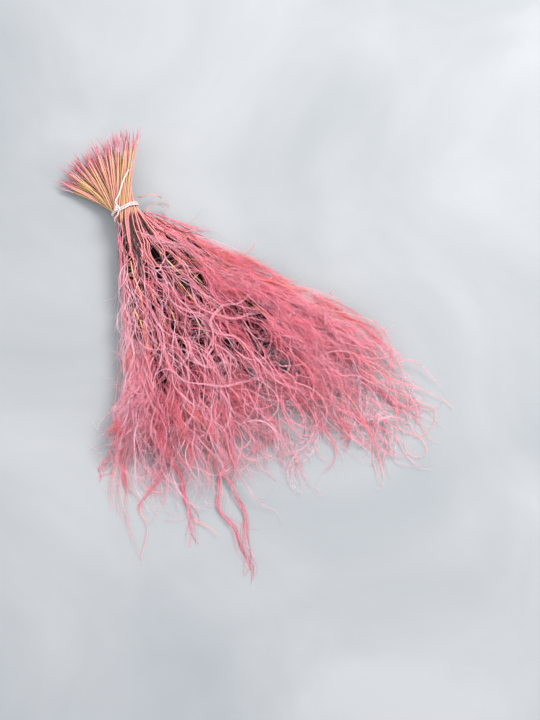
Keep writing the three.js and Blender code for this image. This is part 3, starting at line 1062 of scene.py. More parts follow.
# %% [markdown]
# ## Awns in locks
# Real awns cling together in locks, a few millimetres wide, that wave and cross like strands of wool.
# So each lock is laid first, as one wavy line over the pile, and its awns then follow that line, winding
# round it and coming apart at their tips. Low in the pile the locks are loose and dull, and they fill
# the bed; in the hollow middle many of their awns are near-black, as painted shade. On top they are tight,
# apart from the +Y side of the fan, where they are brushed out soft.

# %% Laying locks
LOCK_STEPS = 70
MIDDLE = LOCK_STEPS // 2
# How much of each plume's reach is dense. Past it there are only loose tips.
DENSE_SHARES = [0.92, 0.94, 0.99, 0.90, 0.76, 0.82, 0.97, 0.98, 0.98, 0.98, 1.00, 1.00, 1.02, 1.02]
dense_reach = 0.95 * plume_reach * DENSE_SHARES


def reach_at(share):
    """How far the dense part of the pile reaches at a share of the fan."""
    return np.interp(share * FAN_SLOPE, plume_slopes, dense_reach)


def lay_locks(rng, x0, share, drift, length, waves, hook_chance=0.1):
    """Middle lines of locks. Each keeps its share of the fan, or drifts across it, and waves."""
    t = np.linspace(0.0, 1.0, LOCK_STEPS)[None, :]
    run = length[:, None] * t
    x = x0[:, None] + np.cos(fan_heading(x0, share))[:, None] * run
    y = fan_y(x, share[:, None] + drift[:, None] * run / 100.0)
    angle = sway(rng, run, waves) * (0.35 + 0.65 * smooth(run / 50.0))
    angle = angle + hooks(rng, len(x0), LOCK_STEPS, hook_chance, 1.8)
    return within_sides(*bend_line(x, y, angle))


def lock_heights(rng, x, y, layer, swing):
    """Heights of locks: a share of the pile's thickness that rises and falls a little on the way."""
    run = np.linspace(0.0, 200.0, LOCK_STEPS)[None, :] * np.ones((len(x), 1))
    return pile_height(x, y, np.clip(layer[:, None] + sway(rng, run, [(45.0, 120.0, swing)]), 0.0, 1.12))


# %% Awns that follow locks
def follow_locks(rng, lock_lines, per_lock, spread, steps, first, last, frizz=0.25, swell=0.0, curl=0.2):
    """Awns that wind round the middle line of their lock. Each covers its own stretch of it.

    Returns the points, each awn's lock and the way along it. A lock without swell opens towards its
    tip, and one with swell is widest in its middle.
    """
    lock = np.repeat(np.arange(len(lock_lines)), per_lock)
    count = len(lock)
    t = np.linspace(0.0, 1.0, steps)[None, :]
    begin = rng.uniform(*first, (count, 1))
    end = rng.uniform(*last, (count, 1))
    share = begin + (end - begin) * t
    at = share * (LOCK_STEPS - 1.001)
    i = at.astype(int)
    part = (at - i)[:, :, None]
    middle = lock_lines[lock[:, None], i] * (1 - part) + lock_lines[lock[:, None], i + 1] * part
    x, y, z = np.moveaxis(middle, 2, 0)
    ahead_x, ahead_y = np.gradient(x, axis=1), np.gradient(y, axis=1)
    norm = np.sqrt(ahead_x ** 2 + ahead_y ** 2) + 1e-6
    turn = rng.uniform(0.0, math.tau, (count, 1)) + math.tau * rng.uniform(-2.5, 2.5, (count, 1)) * share
    fraying = 0.45 + 0.55 * t + 1.6 * t ** 4
    bulging = 0.2 + 1.1 * np.sin(math.pi * np.clip(share, 0.0, 1.0) ** 0.8)
    shape = fraying + (bulging - fraying) * swell
    apart = spread[lock][:, None] * rng.uniform(0.15, 1.0, (count, 1)) * shape
    x = x - ahead_y / norm * apart * np.cos(turn)
    y = y + ahead_x / norm * apart * np.cos(turn)
    z = z + 0.7 * apart * np.sin(turn)
    stretch = np.hypot(np.diff(x, axis=1), np.diff(y, axis=1))
    run = np.concatenate((np.zeros((count, 1)), np.cumsum(stretch, axis=1)), axis=1)
    angle = sway(rng, run, [(26.0, 60.0, frizz)]) * t + hooks(rng, count, steps, curl, 1.8)
    x, y = bend_line(x, y, angle)
    return on_floor(x, y, z), lock, t


# %% Dye tones by place, with painted shade and painted light
PLUME_TONE = 0.69
TONE_SPREAD = 0.075
CORAL_TONES = (0.30, 0.42)


def hollow(x, y):
    """1 in the hollow middle of the bundle, where the eye looks in between the locks, else 0. It places
    painted shade.
    """
    slope = y / np.maximum(x, 1.0)
    return (1.0 - smooth((x - 215.0) / 60.0)) * (1.0 - smooth((np.abs(slope + 0.02) - 0.36) / 0.12))


def place_tone(rng, x, y):
    """Rose with some coral, deepened by painted shade in the hollow middle, and paler at the sides and the
    tips, partly the awns' own colour and partly painted light.
    """
    slope = y / np.maximum(x, 1.0)
    plus_side = smooth((slope - 0.02) / 0.34) * smooth((x - 100.0) / 60.0)
    far = smooth((x - 235.0) / 110.0)
    minus_side = smooth((-slope - 0.3) / 0.15)
    # Painted shade deepens the tone in the hollow middle, and painted light adds to the paleness at the far
    # tips and the -Y side.
    tone = PLUME_TONE + 0.03 * plus_side + 0.27 * far + 0.20 * minus_side - 0.12 * hollow(x, y)
    tone = tone + rng.normal(0.0, TONE_SPREAD, len(x))
    coral = rng.random(len(x)) < 0.12 + 0.3 * smooth((130.0 - x) / 60.0)
    return np.where(coral, rng.uniform(*CORAL_TONES, len(x)), np.clip(tone, 0.46, 0.96))


# %% Locks of a plume
TUFTS_IN_MIDDLE = 8
TUFTS_AT_SIDES = 12
AWNS_PER_TUFT = 9
CURLS = 12
CURLS_AT_PLUS_SIDE = 8
AWNS_PER_CURL = 5
TIP_TUFTS = 5
BED_LOCKS = 4
AWNS_PER_BED_LOCK = 12
AWN_STEPS = 18
BED_AWN_RADIUS, TUFT_AWN_RADIUS, CURL_AWN_RADIUS = 0.24, 0.09, 0.17
BED_FULLNESS, CURL_FULLNESS = 0.45, 0.3


def spread_shares(rng, index, count):
    """Shares of the fan for the locks of one plume, which overlap a little with its neighbours'."""
    width = (plume_slopes[1] - plume_slopes[0]) / FAN_SLOPE
    return plume_slopes[index] / FAN_SLOPE + width * rng.uniform(-0.6, 0.6, count)


def bed_locks(rng, index):
    share = spread_shares(rng, index, BED_LOCKS)
    reach = reach_at(share)
    x0 = rng.uniform(85.0, 150.0, BED_LOCKS)
    length = np.minimum(rng.uniform(150.0, 240.0, BED_LOCKS), reach - x0)
    x, y = lay_locks(rng, x0, share, np.zeros(BED_LOCKS), length, [(70.0, 140.0, 0.12)])
    layer = rng.uniform(0.05, 0.5, BED_LOCKS)
    return np.stack((x, y, lock_heights(rng, x, y, layer, 0.04)), axis=2)


def top_locks(rng, index, count, waves, hook_chance):
    share = spread_shares(rng, index, count)
    reach = reach_at(share)
    x0 = 42.0 + 178.0 * rng.random(count) ** 0.75
    end = reach * rng.uniform(0.86, 1.08, count)
    length = np.clip(end - x0, 40.0, rng.uniform(80.0, 190.0, count))
    drift = rng.normal(0.0, 0.22, count) * (1 + (rng.random(count) < 0.2))
    x, y = lay_locks(rng, x0, share, drift, length, waves, hook_chance)
    layer = rng.uniform(0.5, 1.05, count)
    return np.stack((x, y, lock_heights(rng, x, y, layer, 0.09)), axis=2), share


def tip_locks(rng, index):
    """Short soft locks at the far end, which thin the bundle out into a mist of hairs."""
    share = spread_shares(rng, index, TIP_TUFTS)
    reach = reach_at(share)
    x0 = reach * rng.uniform(0.62, 0.86, TIP_TUFTS)
    length = np.minimum(rng.uniform(55.0, 120.0, TIP_TUFTS), 1.08 * reach - x0)
    drift = rng.normal(0.0, 0.25, TIP_TUFTS)
    x, y = lay_locks(rng, x0, share, drift, length, [(60.0, 130.0, 0.35)], 0.3)
    layer = rng.uniform(0.3, 1.0, TIP_TUFTS)
    return np.stack((x, y, lock_heights(rng, x, y, layer, 0.06)), axis=2), share


def softness(rng, lines, share):
    """How fluffy locks are: most so on the +Y side, at the -Y edge and towards the tips."""
    middle_x = lines[:, MIDDLE, 0]
    sides = np.maximum(smooth((share - 0.15) / 0.3), smooth((-share - 0.55) / 0.25))
    soft = np.maximum(np.maximum(sides, 0.75 * smooth((middle_x - 150.0) / 100.0)), 0.4)
    return soft * smooth((middle_x - 60.0) / 60.0) * rng.uniform(0.75, 1.0, len(share))


# %% Grow the plumes
def make_plume(index):
    rng = np.random.default_rng(100 + index)
    share = plume_slopes[index] / FAN_SLOPE
    tuft_count = TUFTS_IN_MIDDLE if abs(share + 0.05) < 0.5 else TUFTS_AT_SIDES
    curl_count = CURLS_AT_PLUS_SIDE if share > 0.35 else CURLS
    bed = bed_locks(rng, index)
    tufts, tuft_share = top_locks(rng, index, tuft_count, [(60.0, 130.0, 0.32)], 0.15)
    curls, _ = top_locks(rng, index, curl_count, [(70.0, 150.0, 0.30), (34.0, 70.0, 0.28)], 0.4)
    tips, tip_share = tip_locks(rng, index)
    tufts = np.concatenate((tufts, tips))
    soft = softness(rng, tufts, np.concatenate((tuft_share, tip_share)))

    bed_spread = rng.uniform(4.0, 8.0, BED_LOCKS)
    bed_points, _, _ = follow_locks(
        rng, bed, AWNS_PER_BED_LOCK, bed_spread, AWN_STEPS, (0.0, 0.55), (0.5, 1.0))
    tuft_spread = 1.6 + 7.6 * soft
    tuft_points, tuft, _ = follow_locks(
        rng, tufts, AWNS_PER_TUFT, tuft_spread, AWN_STEPS, (0.0, 0.5), (0.55, 1.0), 0.26, swell=0.8)
    curl_spread = rng.uniform(0.4, 1.1, curl_count)
    curl_points, curl, t = follow_locks(
        rng, curls, AWNS_PER_CURL, curl_spread, AWN_STEPS, (0.0, 0.25), (0.7, 1.0), 0.14)
    points = np.concatenate((bed_points, tuft_points, curl_points))
    counts = (len(bed_points), len(tuft_points), len(curl_points))
    kind = np.repeat([0, 1, 2], counts)
    x, y, clear = part_at_slits(points[:, :, 0], points[:, :, 1])
    parted = kind[:, None] > 0
    points[:, :, 0] = np.where(parted, x, points[:, :, 0])
    points[:, :, 1] = np.where(parted, y, points[:, :, 1])

    middle = points[:, AWN_STEPS // 2]
    tone = place_tone(rng, middle[:, 0], middle[:, 1])
    tuft_x, tuft_y = tufts[:, MIDDLE, 0], tufts[:, MIDDLE, 1]
    tuft_tone = place_tone(rng, tuft_x, tuft_y)
    curl_tone = place_tone(rng, curls[:, MIDDLE, 0], curls[:, MIDDLE, 1]) + 0.08
    tone[kind == 1] = 0.25 * tone[kind == 1] + 0.75 * tuft_tone[tuft]
    tone[kind == 2] = 0.3 * tone[kind == 2] + 0.7 * curl_tone[curl]
    # Painted shade: in the hollow middle many bed awns get near-black tones, where the pile lies in shade.
    dark = (kind == 0) & (rng.random(len(points)) < hollow(middle[:, 0], middle[:, 1]))
    tone[dark] = rng.uniform(0.0, 0.12, dark.sum())
    radius = np.repeat([BED_AWN_RADIUS, TUFT_AWN_RADIUS, CURL_AWN_RADIUS], counts)[:, None]
    radius = radius * rng.uniform(0.7, 1.15, (len(points), 1))
    tuft_fullness = (0.45 + 0.55 * soft) * np.where(np.arange(len(soft)) < tuft_count, 1.0, 0.6)
    tuft_fullness = tuft_fullness * (1.0 - 0.35 * hollow(tuft_x, tuft_y))
    bed_fullness, curl_fullness = np.full(counts[0], BED_FULLNESS), np.full(counts[2], CURL_FULLNESS)
    fullness = np.concatenate((bed_fullness, tuft_fullness[tuft], curl_fullness))
    feather = smooth((t - 0.02) / 0.2) * fullness[:, None] * rng.uniform(0.75, 1.0, (len(points), 1))
    feather = feather * np.where(parted, 0.08 + 0.92 * clear, 1.0)
    name = f"awns_{index + 1:02d}"
    mesh = lines_mesh(name, points, radius * (1.0 - 0.8 * t ** 1.2), tone, feather)
    piece = grow_feathered(name, mesh, 0.00052, 0.0132, 0.000100, lean=0.62, seed=index)
    return settle(piece, "plume", PLUMES[index])


for plume_index in range(len(PLUMES)):
    make_plume(plume_index)

# %% [markdown]
# ## Old leaves and painted shade under the awns
# Between the locks the eye looks down on old, dark leaves and bare stems, and into shade. They are wide flat
# lines low in the pile, partly old leaves and partly near-black painted shade, and they keep the slits dark.

# %% Dark old leaves and painted shade
UNDERLEAVES_AND_SHADE = 640
UNDERLEAF_AND_SHADE_STEPS = 12
# Painted shade: the near-black tones stand for shade between the locks, and the browner ones are old leaves.
UNDERLEAF_AND_SHADE_TONES = [0.0, 0.02, 0.05, 0.09, 0.17]
UNDERLEAF_AND_SHADE_CHANCES = [0.4, 0.26, 0.18, 0.1, 0.06]


def make_underleaves_and_shade():
    rng = np.random.default_rng(31)
    count = UNDERLEAVES_AND_SHADE
    t = np.linspace(0.0, 1.0, UNDERLEAF_AND_SHADE_STEPS)[None, :]
    x0 = rng.uniform(6.0, 175.0, count)
    share = rng.uniform(-0.88, 0.86, count)
    length = rng.uniform(50.0, 120.0, count)
    run = length[:, None] * t
    x = x0[:, None] + 0.9 * run
    y = fan_y(x, share[:, None] + rng.normal(0.0, 0.08, (count, 1)) * t)
    x, y = within_sides(*bend_line(x, y, sway(rng, run, [(60.0, 130.0, 0.10)])))
    z = pile_height(x, y, rng.uniform(0.12, 0.74, (count, 1)) * np.ones_like(t))
    thickness = 0.85 * rng.uniform(0.6, 1.3, (count, 1)) * (1.0 - 0.8 * t ** 2)
    tone = rng.choice(UNDERLEAF_AND_SHADE_TONES, count, p=UNDERLEAF_AND_SHADE_CHANCES)
    mesh = lines_mesh("underleaves", np.stack((x, y, z), axis=2), thickness, tone)
    return settle(grow("underleaves", mesh, BARE_FIBRES, Sides=4, Material=UNDERLEAF_AND_SHADE_FINISH), "leaf")


make_underleaves_and_shade()

# %% [markdown]
# ## Loose strands on top, at the edges and at the tips
# The pile is never combed. Pale strands of a few fibres wander and curl over its top, long ones fly off
# the edges, and wiry awn ends stick out of the tips, many of them bent into hooks.

# %% One rule for loose strands
def loose_strands(rng, x0, y0, heading, length, per_strand, apart, waves, hook_chance, hook_turn, steps):
    """Strands of a few fibres that start together, run in their own heading and bend at random.

    Returns x and y of the fibres' points, each fibre's strand and the way along it.
    """
    t = np.linspace(0.0, 1.0, LOCK_STEPS)[None, :]
    run = length[:, None] * t
    x = x0[:, None] + np.cos(heading)[:, None] * run
    y = y0[:, None] + np.sin(heading)[:, None] * run
    angle = sway(rng, run, waves) + hooks(rng, len(x0), LOCK_STEPS, hook_chance, hook_turn)
    x, y = bend_line(x, y, angle)
    lines = np.stack((x, y, np.zeros_like(x)), axis=2)
    spread = np.full(len(x0), apart)
    points, strand, t = follow_locks(rng, lines, per_strand, spread, steps, (0.0, 0.1), (0.7, 1.0), 0.12)
    return points[:, :, 0], points[:, :, 1], strand, t


STRAND_FIBRES = 3
STRAND_STEPS = 20
CROSSING_CHANCE = 0.3  # of a strand that runs across the slits


def make_top_strands(name, seed, count, low, high):
    rng = np.random.default_rng(seed)
    share = rng.uniform(low, high, count)
    reach = reach_at(share)
    x0 = 30.0 + (reach * 0.9 - 30.0) * rng.random(count) ** 0.8
    y0 = fan_y(x0, share)
    heading = fan_heading(x0, share) + rng.normal(0.0, 0.38, count)
    length = rng.uniform(30.0, 95.0, count)
    x, y, strand, t = loose_strands(
        rng, x0, y0, heading, length, STRAND_FIBRES, 0.7, [(55.0, 120.0, 0.4)], 0.4, 2.8, STRAND_STEPS)
    lift = rng.uniform(0.0, 3.0, (count, 1))[strand] * np.sin(math.pi * t)
    layer = rng.uniform(0.9, 1.06, (count, 1))[strand]
    parted_x, parted_y, _ = part_at_slits(x, y)
    crossing = (rng.random((count, 1)) < CROSSING_CHANCE)[strand]
    x, y = np.where(crossing, x, parted_x), np.where(crossing, y, parted_y)
    z = pile_height(x, y, layer) + lift + rng.uniform(-0.3, 0.3, (len(x), 1))
    thickness = 0.24 * rng.uniform(0.6, 1.2, (len(x), 1)) * (1.0 - 0.7 * t)
    tone = np.clip(rng.normal(0.84, 0.07, count) - 0.14 * smooth(share / 0.6), 0.5, 0.99)[strand]
    return add_bare(name, on_floor(x, y, z), thickness, tone)


# %% Grow the top strands
for place, seed, count, low, high in (
    ("left", 41, 70, -1.0, -0.3),
    ("middle", 42, 90, -0.35, 0.35),
    ("right", 43, 90, 0.3, 1.0),
):
    make_top_strands(f"top_strands_{place}", seed, count, low, high)


# %% Curls on top
TOP_CURLS = 110
AWNS_PER_TOP_CURL = 4
CURL_STEPS = 26


def make_top_curls():
    """Strands that leave the pile, turn steadily one way and end in arcs and open loops."""
    rng = np.random.default_rng(45)
    count = TOP_CURLS
    share = rng.uniform(-0.85, 0.9, count)
    reach = reach_at(share)
    x0 = reach * rng.uniform(0.22, 0.92, count)
    y0 = fan_y(x0, share)
    t = np.linspace(0.0, 1.0, LOCK_STEPS)[None, :]
    length = rng.uniform(55.0, 125.0, (count, 1))
    run = length * t
    way = rng.choice([-1.0, 1.0], (count, 1))
    total = rng.uniform(1.0, 3.8, (count, 1)) * rng.uniform(0.5, 1.0, (count, 1))
    heading = fan_heading(x0, share)[:, None] - 0.3 * way * total + rng.normal(0.0, 0.2, (count, 1))
    angle = heading + way * total * smooth((t - 0.05) / 0.95) + sway(rng, run, [(50.0, 90.0, 0.12)])
    step = length / (LOCK_STEPS - 1)
    x = x0[:, None] + np.cumsum(np.cos(angle) * step, axis=1)
    y = y0[:, None] + np.cumsum(np.sin(angle) * step, axis=1)
    lift = rng.uniform(0.5, 4.0, (count, 1)) * np.sin(math.pi * t)
    z = pile_height(x, y, rng.uniform(0.95, 1.05, (count, 1)) * np.ones_like(t)) + lift
    lines = np.stack((x, y, z), axis=2)
    spread = rng.uniform(0.5, 2.2, count)
    points, curl, t = follow_locks(
        rng, lines, AWNS_PER_TOP_CURL, spread, CURL_STEPS, (0.0, 0.3), (0.75, 1.0), 0.1)
    thickness = 0.21 * rng.uniform(0.7, 1.2, (len(points), 1)) * (1.0 - 0.7 * t)
    tone = np.clip(rng.normal(0.80, 0.08, count) - 0.14 * smooth(share / 0.6), 0.5, 0.96)[curl]
    feather = smooth(t / 0.1) * 0.4 * np.ones_like(thickness)
    mesh = lines_mesh("top_curls", points, thickness, tone, feather)
    return settle(grow_feathered("top_curls", mesh, 0.0013, 0.009, 0.000075, lean=0.4, seed=46), "plume")


make_top_curls()


# %% Wiry tips
TIP_STRANDS = 320
TIP_STEPS = 18


def make_tips():
    rng = np.random.default_rng(51)
    count = TIP_STRANDS
    share = rng.uniform(-1.0, 1.0, count)
    reach = reach_at(share)
    x0 = reach * rng.uniform(0.62, 1.0, count)
    y0 = fan_y(x0, share)
    inward = smooth((np.abs(share) - 0.6) / 0.3)
    heading = fan_heading(x0, share) + rng.normal(0.0, 0.42, count) * (1 - 0.6 * inward)
    heading = heading - 0.2 * inward * np.sign(share)
    length = rng.uniform(22.0, 70.0, count)
    x, y, strand, t = loose_strands(
        rng, x0, y0, heading, length, STRAND_FIBRES, 1.6, [(50.0, 110.0, 0.4)], 0.4, 3.0, TIP_STEPS)
    z = pile_height(x, y, rng.uniform(0.3, 1.0, (len(x), 1))) + rng.uniform(0.0, 2.5, (len(x), 1)) * t
    thickness = 0.14 * rng.uniform(0.6, 1.3, (len(x), 1)) * (1.0 - 0.6 * t)
    coral = rng.random(count) < 0.2
    tone = np.where(coral, rng.uniform(0.34, 0.46, count), rng.uniform(0.62, 0.9, count))[strand]
    return add_bare("wiry_tips", on_floor(x, y, z), thickness, tone)


make_tips()


# %% Flyaway edges
FLYAWAYS = 150
FLYAWAY_STEPS = 26
PLUS_SIDE_SHARE = 0.68


def make_flyaways():
    rng = np.random.default_rng(61)
    count = FLYAWAYS
    side = np.where(rng.random(count) < PLUS_SIDE_SHARE, 1.0, -1.0)
    x0 = rng.uniform(45.0, 270.0, count)
    share = side * rng.uniform(0.88, 1.0, count)
    y0 = fan_y(x0, share)
    heading = fan_heading(x0, share) + side * rng.uniform(-0.08, 0.06, count)
    length = rng.uniform(40.0, 120.0, count)
    x, y, strand, t = loose_strands(
        rng, x0, y0, heading, length, 2, 0.8, [(70.0, 140.0, 0.18)], 0.06, 1.8, FLYAWAY_STEPS)
    z = pile_height(x, y, rng.uniform(0.5, 1.0, (len(x), 1))) + 1.5 * np.sin(math.pi * t)
    thickness = 0.19 * rng.uniform(0.6, 1.2, (len(x), 1)) * (1.0 - 0.65 * t)
    coral = rng.random(count) < 0.5
    tone = np.where(coral, rng.uniform(0.3, 0.44, count), rng.uniform(0.6, 0.9, count))[strand]
    return add_bare("flyaways", on_floor(x, y, z), thickness, tone)


make_flyaways()

# %% [markdown]
# ## Single locks and wires that stand out
# A few long locks reach past the rest, cross each other and fork, and a few stiff bare awns make long
# arcs and loops on the floor. They give the bundle its outline, so each has a route of its own.

# %% Routes of the single locks
LONG_LOCKS = [
    ((262, -30), (284, -19), (298, -26), (319, -51), (342, -65), (370, -63), (404, -66), (440, -73)),
    ((258, -22), (284, -26), (303, -45), (329, -44), (354, -43), (380, -52), (404, -62), (438, -78)),
    ((236, -66), (260, -84), (287, -87), (315, -91), (344, -96), (361, -103), (378, -118)),
    ((205, -92), (230, -112), (247, -135), (266, -141), (287, -138), (299, -135)),
    ((205, -115), (228, -124), (239, -140), (250, -154), (266, -168)),
    ((262, -76), (281, -91), (291, -118), (300, -136), (308, -141)),
    ((262, 92), (290, 108), (318, 110), (342, 116), (366, 132)),
    ((272, 130), (300, 140), (330, 152), (352, 160), (376, 158)),
    ((8, 15), (20, 29), (33, 42), (46, 57), (65, 70)),
    ((32, -21), (29, -3), (42, 11), (57, 22), (70, 32), (74, 49)),
    ((17, -5), (31, 4), (50, 15), (63, 31), (79, 44)),
    ((101, 49), (114, 23), (143, 21), (172, 42), (183, 76)),
    ((155, 79), (161, 61), (155, 41), (166, 23), (191, 22)),
    ((195, -69), (190, -48), (217, -29), (237, 1), (247, 41)),
]
PAST_THE_PILE = 250.0
FIRST_ON_PILE = 9  # the locks from here on lie on top of the pile and are finer
STRANDS_PER_LOCK, AWNS_PER_STRAND = 5, 4
LONG_LOCK_STEPS = 44
LOCK_FULLNESS = [2.2, 2.2, 3.0, 2.4, 3.4, 1.0, 3.6, 3.6, 1.2, 1.8, 1.5, 0.9, 0.9, 0.9]
WIRES = [
    ((299, -136), (308, -141), (326, -142), (340, -152), (352, -168)),
    ((344, -95), (357, -86), (372, -78)),
    ((154, -69), (159, -80), (168, -96), (183, -107), (214, -121)),
    ((150, 101), (168, 114), (188, 141), (204, 154), (219, 159)),
    (
        (110, 64), (128, 78), (163, 110), (208, 132), (234, 160),
        (249, 178), (270, 185), (288, 182), (306, 181),
    ),
    ((249, 180), (273, 185), (290, 179), (309, 167), (337, 159), (366, 142), (390, 127)),
    ((270, 140), (303, 158), (322, 174), (343, 193), (362, 206), (374, 213)),
    ((290, 140), (323, 159), (347, 178), (363, 191), (375, 186), (383, 170), (380, 155)),
    ((340, 130), (368, 148), (385, 162), (401, 160), (402, 148), (390, 141), (379, 146)),
    ((300, 112), (334, 117), (358, 116), (382, 112), (403, 104)),
    ((290, 84), (306, 96), (315, 104), (331, 101), (344, 97), (347, 85)),
]


def route_line(rng, route, steps, wander=1.5, layer=1.08):
    """A smooth line through a given route, with small waves, at the height of the pile below it."""
    flat = smooth_path([(x, y, 0.0) for x, y in route], steps)
    run = np.linspace(0.0, path_length(flat), steps)
    flat[:, 1] += wander * np.sin(run / 7.0 + rng.uniform(0, 6)) * smooth(run / 30.0)
    height = pile_height(flat[:, 0], flat[:, 1], np.full(steps, layer))
    flat[:, 2] = np.maximum(height, 1.2)
    return flat


# %% Grow the long locks
def make_long_locks():
    """Locks of a few strands, which are themselves locks of a few awns."""
    rng = np.random.default_rng(71)
    lines = np.array([
        route_line(rng, route, LOCK_STEPS, layer=0.35 if max(x for x, _ in route) > PAST_THE_PILE else 1.15)
        for route in LONG_LOCKS
    ])
    fullness = np.array(LOCK_FULLNESS)
    strands, lock, _ = follow_locks(
        rng, lines, STRANDS_PER_LOCK, 1.7 * fullness, LOCK_STEPS, (0.0, 0.1), (0.9, 1.0), 0.05, curl=0.0)
    spread = 0.16 * fullness[lock]
    points, strand, t = follow_locks(
        rng, strands, AWNS_PER_STRAND, spread, LONG_LOCK_STEPS, (0.0, 0.3), (0.75, 1.0), 0.1, curl=0.06)
    on_pile = np.arange(len(LONG_LOCKS)) >= FIRST_ON_PILE
    radius = 0.22 * (1.0 - 0.4 * on_pile[lock])[strand][:, None]
    thickness = radius * rng.uniform(0.7, 1.2, (len(points), 1)) * (1.0 - 0.6 * t)
    tone = (rng.normal(0.62, 0.06, len(strands)) + 0.18 * on_pile[lock])[strand]
    feather = smooth(t / 0.1) * rng.uniform(0.35, 0.75, (len(points), 1))
    mesh = lines_mesh("long_locks", points, thickness, tone, feather)
    return settle(grow_feathered("long_locks", mesh, 0.0012, 0.0055, 0.00008, lean=0.3, seed=77), "plume")


# %% Grow the edge locks
EDGE_LOCKS = 24
AWNS_PER_EDGE_LOCK = 8
EDGE_LOCK_STEPS = 26


def make_edge_locks():
    """Soft locks that lie along the +Y side, close to the neck."""
    rng = np.random.default_rng(73)
    count = EDGE_LOCKS
    share = rng.uniform(0.66, 1.0, count)
    x, y = lay_locks(
        rng, rng.uniform(4.0, 80.0, count), share, rng.normal(0.0, 0.1, count),
        rng.uniform(55.0, 130.0, count), [(40.0, 90.0, 0.16)])
    z = pile_height(x, y, rng.uniform(0.5, 1.0, (count, 1)) * np.ones_like(x))
    lines = np.stack((x, y, z), axis=2)
    spread = rng.uniform(0.8, 2.0, count)
    points, lock, t = follow_locks(
        rng, lines, AWNS_PER_EDGE_LOCK, spread, EDGE_LOCK_STEPS, (0.0, 0.3), (0.6, 1.0), 0.15)
    thickness = 0.26 * rng.uniform(0.7, 1.2, (len(points), 1)) * (1.0 - 0.7 * t)
    coral = rng.random(count) < 0.4
    lock_tone = np.where(coral, rng.uniform(*CORAL_TONES, count), rng.uniform(0.52, 0.8, count))
    feather = smooth((t - 0.2) / 0.3) * rng.uniform(0.3, 0.8, (len(points), 1))
    mesh = lines_mesh("edge_locks", points, thickness, lock_tone[lock], feather)
    return settle(grow_feathered("edge_locks", mesh, 0.0012, 0.007, 0.00008, lean=0.35, seed=78), "plume")


# %% Grow the neck wisps
NECK_WISPS = 100
WISP_STEPS = 26
SALMON_CHANCE, DRY_FROM = 0.35, 0.82


def make_neck_wisps():
    """Thin loose fibres that leave the tie with the straws and wander between them."""
    rng = np.random.default_rng(75)
    count = NECK_WISPS
    share = rng.uniform(-1.0, 1.0, count)
    x0 = rng.uniform(4.0, 40.0, count)
    y0 = fan_y(x0, share)
    heading = fan_heading(x0, share) + rng.normal(0.0, 0.09, count)
    length = rng.uniform(45.0, 120.0, count)
    x, y, strand, t = loose_strands(
        rng, x0, y0, heading, length, 2, 0.5, [(36.0, 80.0, 0.3), (16.0, 30.0, 0.14)], 0.2, 2.0, WISP_STEPS)
    x, y, _ = part_at_slits(*within_sides(x, y))
    layer = rng.uniform(0.75, 1.06, (count, 1))[strand]
    z = pile_height(x, y, layer) + rng.uniform(-0.3, 0.3, (len(x), 1))
    thickness = 0.30 * rng.uniform(0.6, 1.2, (len(x), 1)) * (1.0 - 0.55 * t)
    kind = rng.random(count)
    salmon, mauve, dry = (rng.uniform(*tones, count) for tones in ((0.3, 0.44), (0.64, 0.86), (0.03, 0.14)))
    tone = np.where(kind < SALMON_CHANCE, salmon, np.where(kind < DRY_FROM, mauve, dry))[strand]
    return add_bare("neck_wisps", on_floor(x, y, z), thickness, tone)


# %% Grow the wires
WIRE_STEPS = 60
WIRE_WANDER = 0.6


def make_wires():
    rng = np.random.default_rng(72)
    points = np.array([route_line(rng, route, WIRE_STEPS, WIRE_WANDER) for route in WIRES])
    t = np.linspace(0.0, 1.0, WIRE_STEPS)[None, :]
    thickness = rng.uniform(0.34, 0.46, (len(points), 1)) * (1.0 - 0.55 * t)
    tone = rng.uniform(0.30, 0.42, len(points))
    mesh = lines_mesh("wires", points, thickness, tone)
    return settle(grow("wires", mesh, BARE_FIBRES, Sides=5, Material=AWN_FINISH), "plume")


for make in (make_long_locks, make_edge_locks, make_neck_wisps, make_wires):
    make()

# %% [markdown]
# ## String
# The tie is plain cotton string: three plies twisted together, with a little fuzz. Each ply is one line
# that winds round the string's middle line, and the fibre tree turns it into a tube.

# %% String finish
def make_string_finish():
    material, tree, shader = new_material("cotton_string")
    grain = place_group(tree, FIBRE_GRAIN, Across=220.0, Lengthwise=160.0)
    shade = ramp(tree, grain.outputs["Streak"], [(0.3, colour(172, 146, 146)), (0.7, colour(200, 190, 190))])
    tree.links.new(shade, shader.inputs["Base Color"])
    shader.inputs["Roughness"].default_value = 0.85
    shader.inputs["Sheen Weight"].default_value = 0.25
    bump = add_node(tree, "ShaderNodeBump")
    bump.inputs["Strength"].default_value = 0.3
    bump.inputs["Distance"].default_value = 0.0002
    tree.links.new(grain.outputs["Streak"], bump.inputs["Height"])
    tree.links.new(bump.outputs["Normal"], shader.inputs["Normal"])
    return material


STRING_FINISH = make_string_finish()
STRING_RADIUS = 0.9
PLY_COUNT = 3
PLY_RADIUS = 0.46
PLY_TURN = 5.2  # millimetres of string to one turn of the plies
FRAY_LENGTH = 4.0
FUZZ = 0.5


# %% Twisting the plies
def frames_along(path):
    """A pair of side directions along a path that turn as little as possible."""
    forward = np.gradient(path, axis=0)
    forward /= np.linalg.norm(forward, axis=1)[:, None]
    side = np.cross(forward[0], (0.0, 0.0, 1.0) if abs(forward[0][2]) < 0.9 else (1.0, 0.0, 0.0))
    sides = []
    for direction in forward:
        side = side - direction * side.dot(direction)
        side /= np.linalg.norm(side)
        sides.append(side)
    sides = np.array(sides)
    return sides, np.cross(forward, sides)


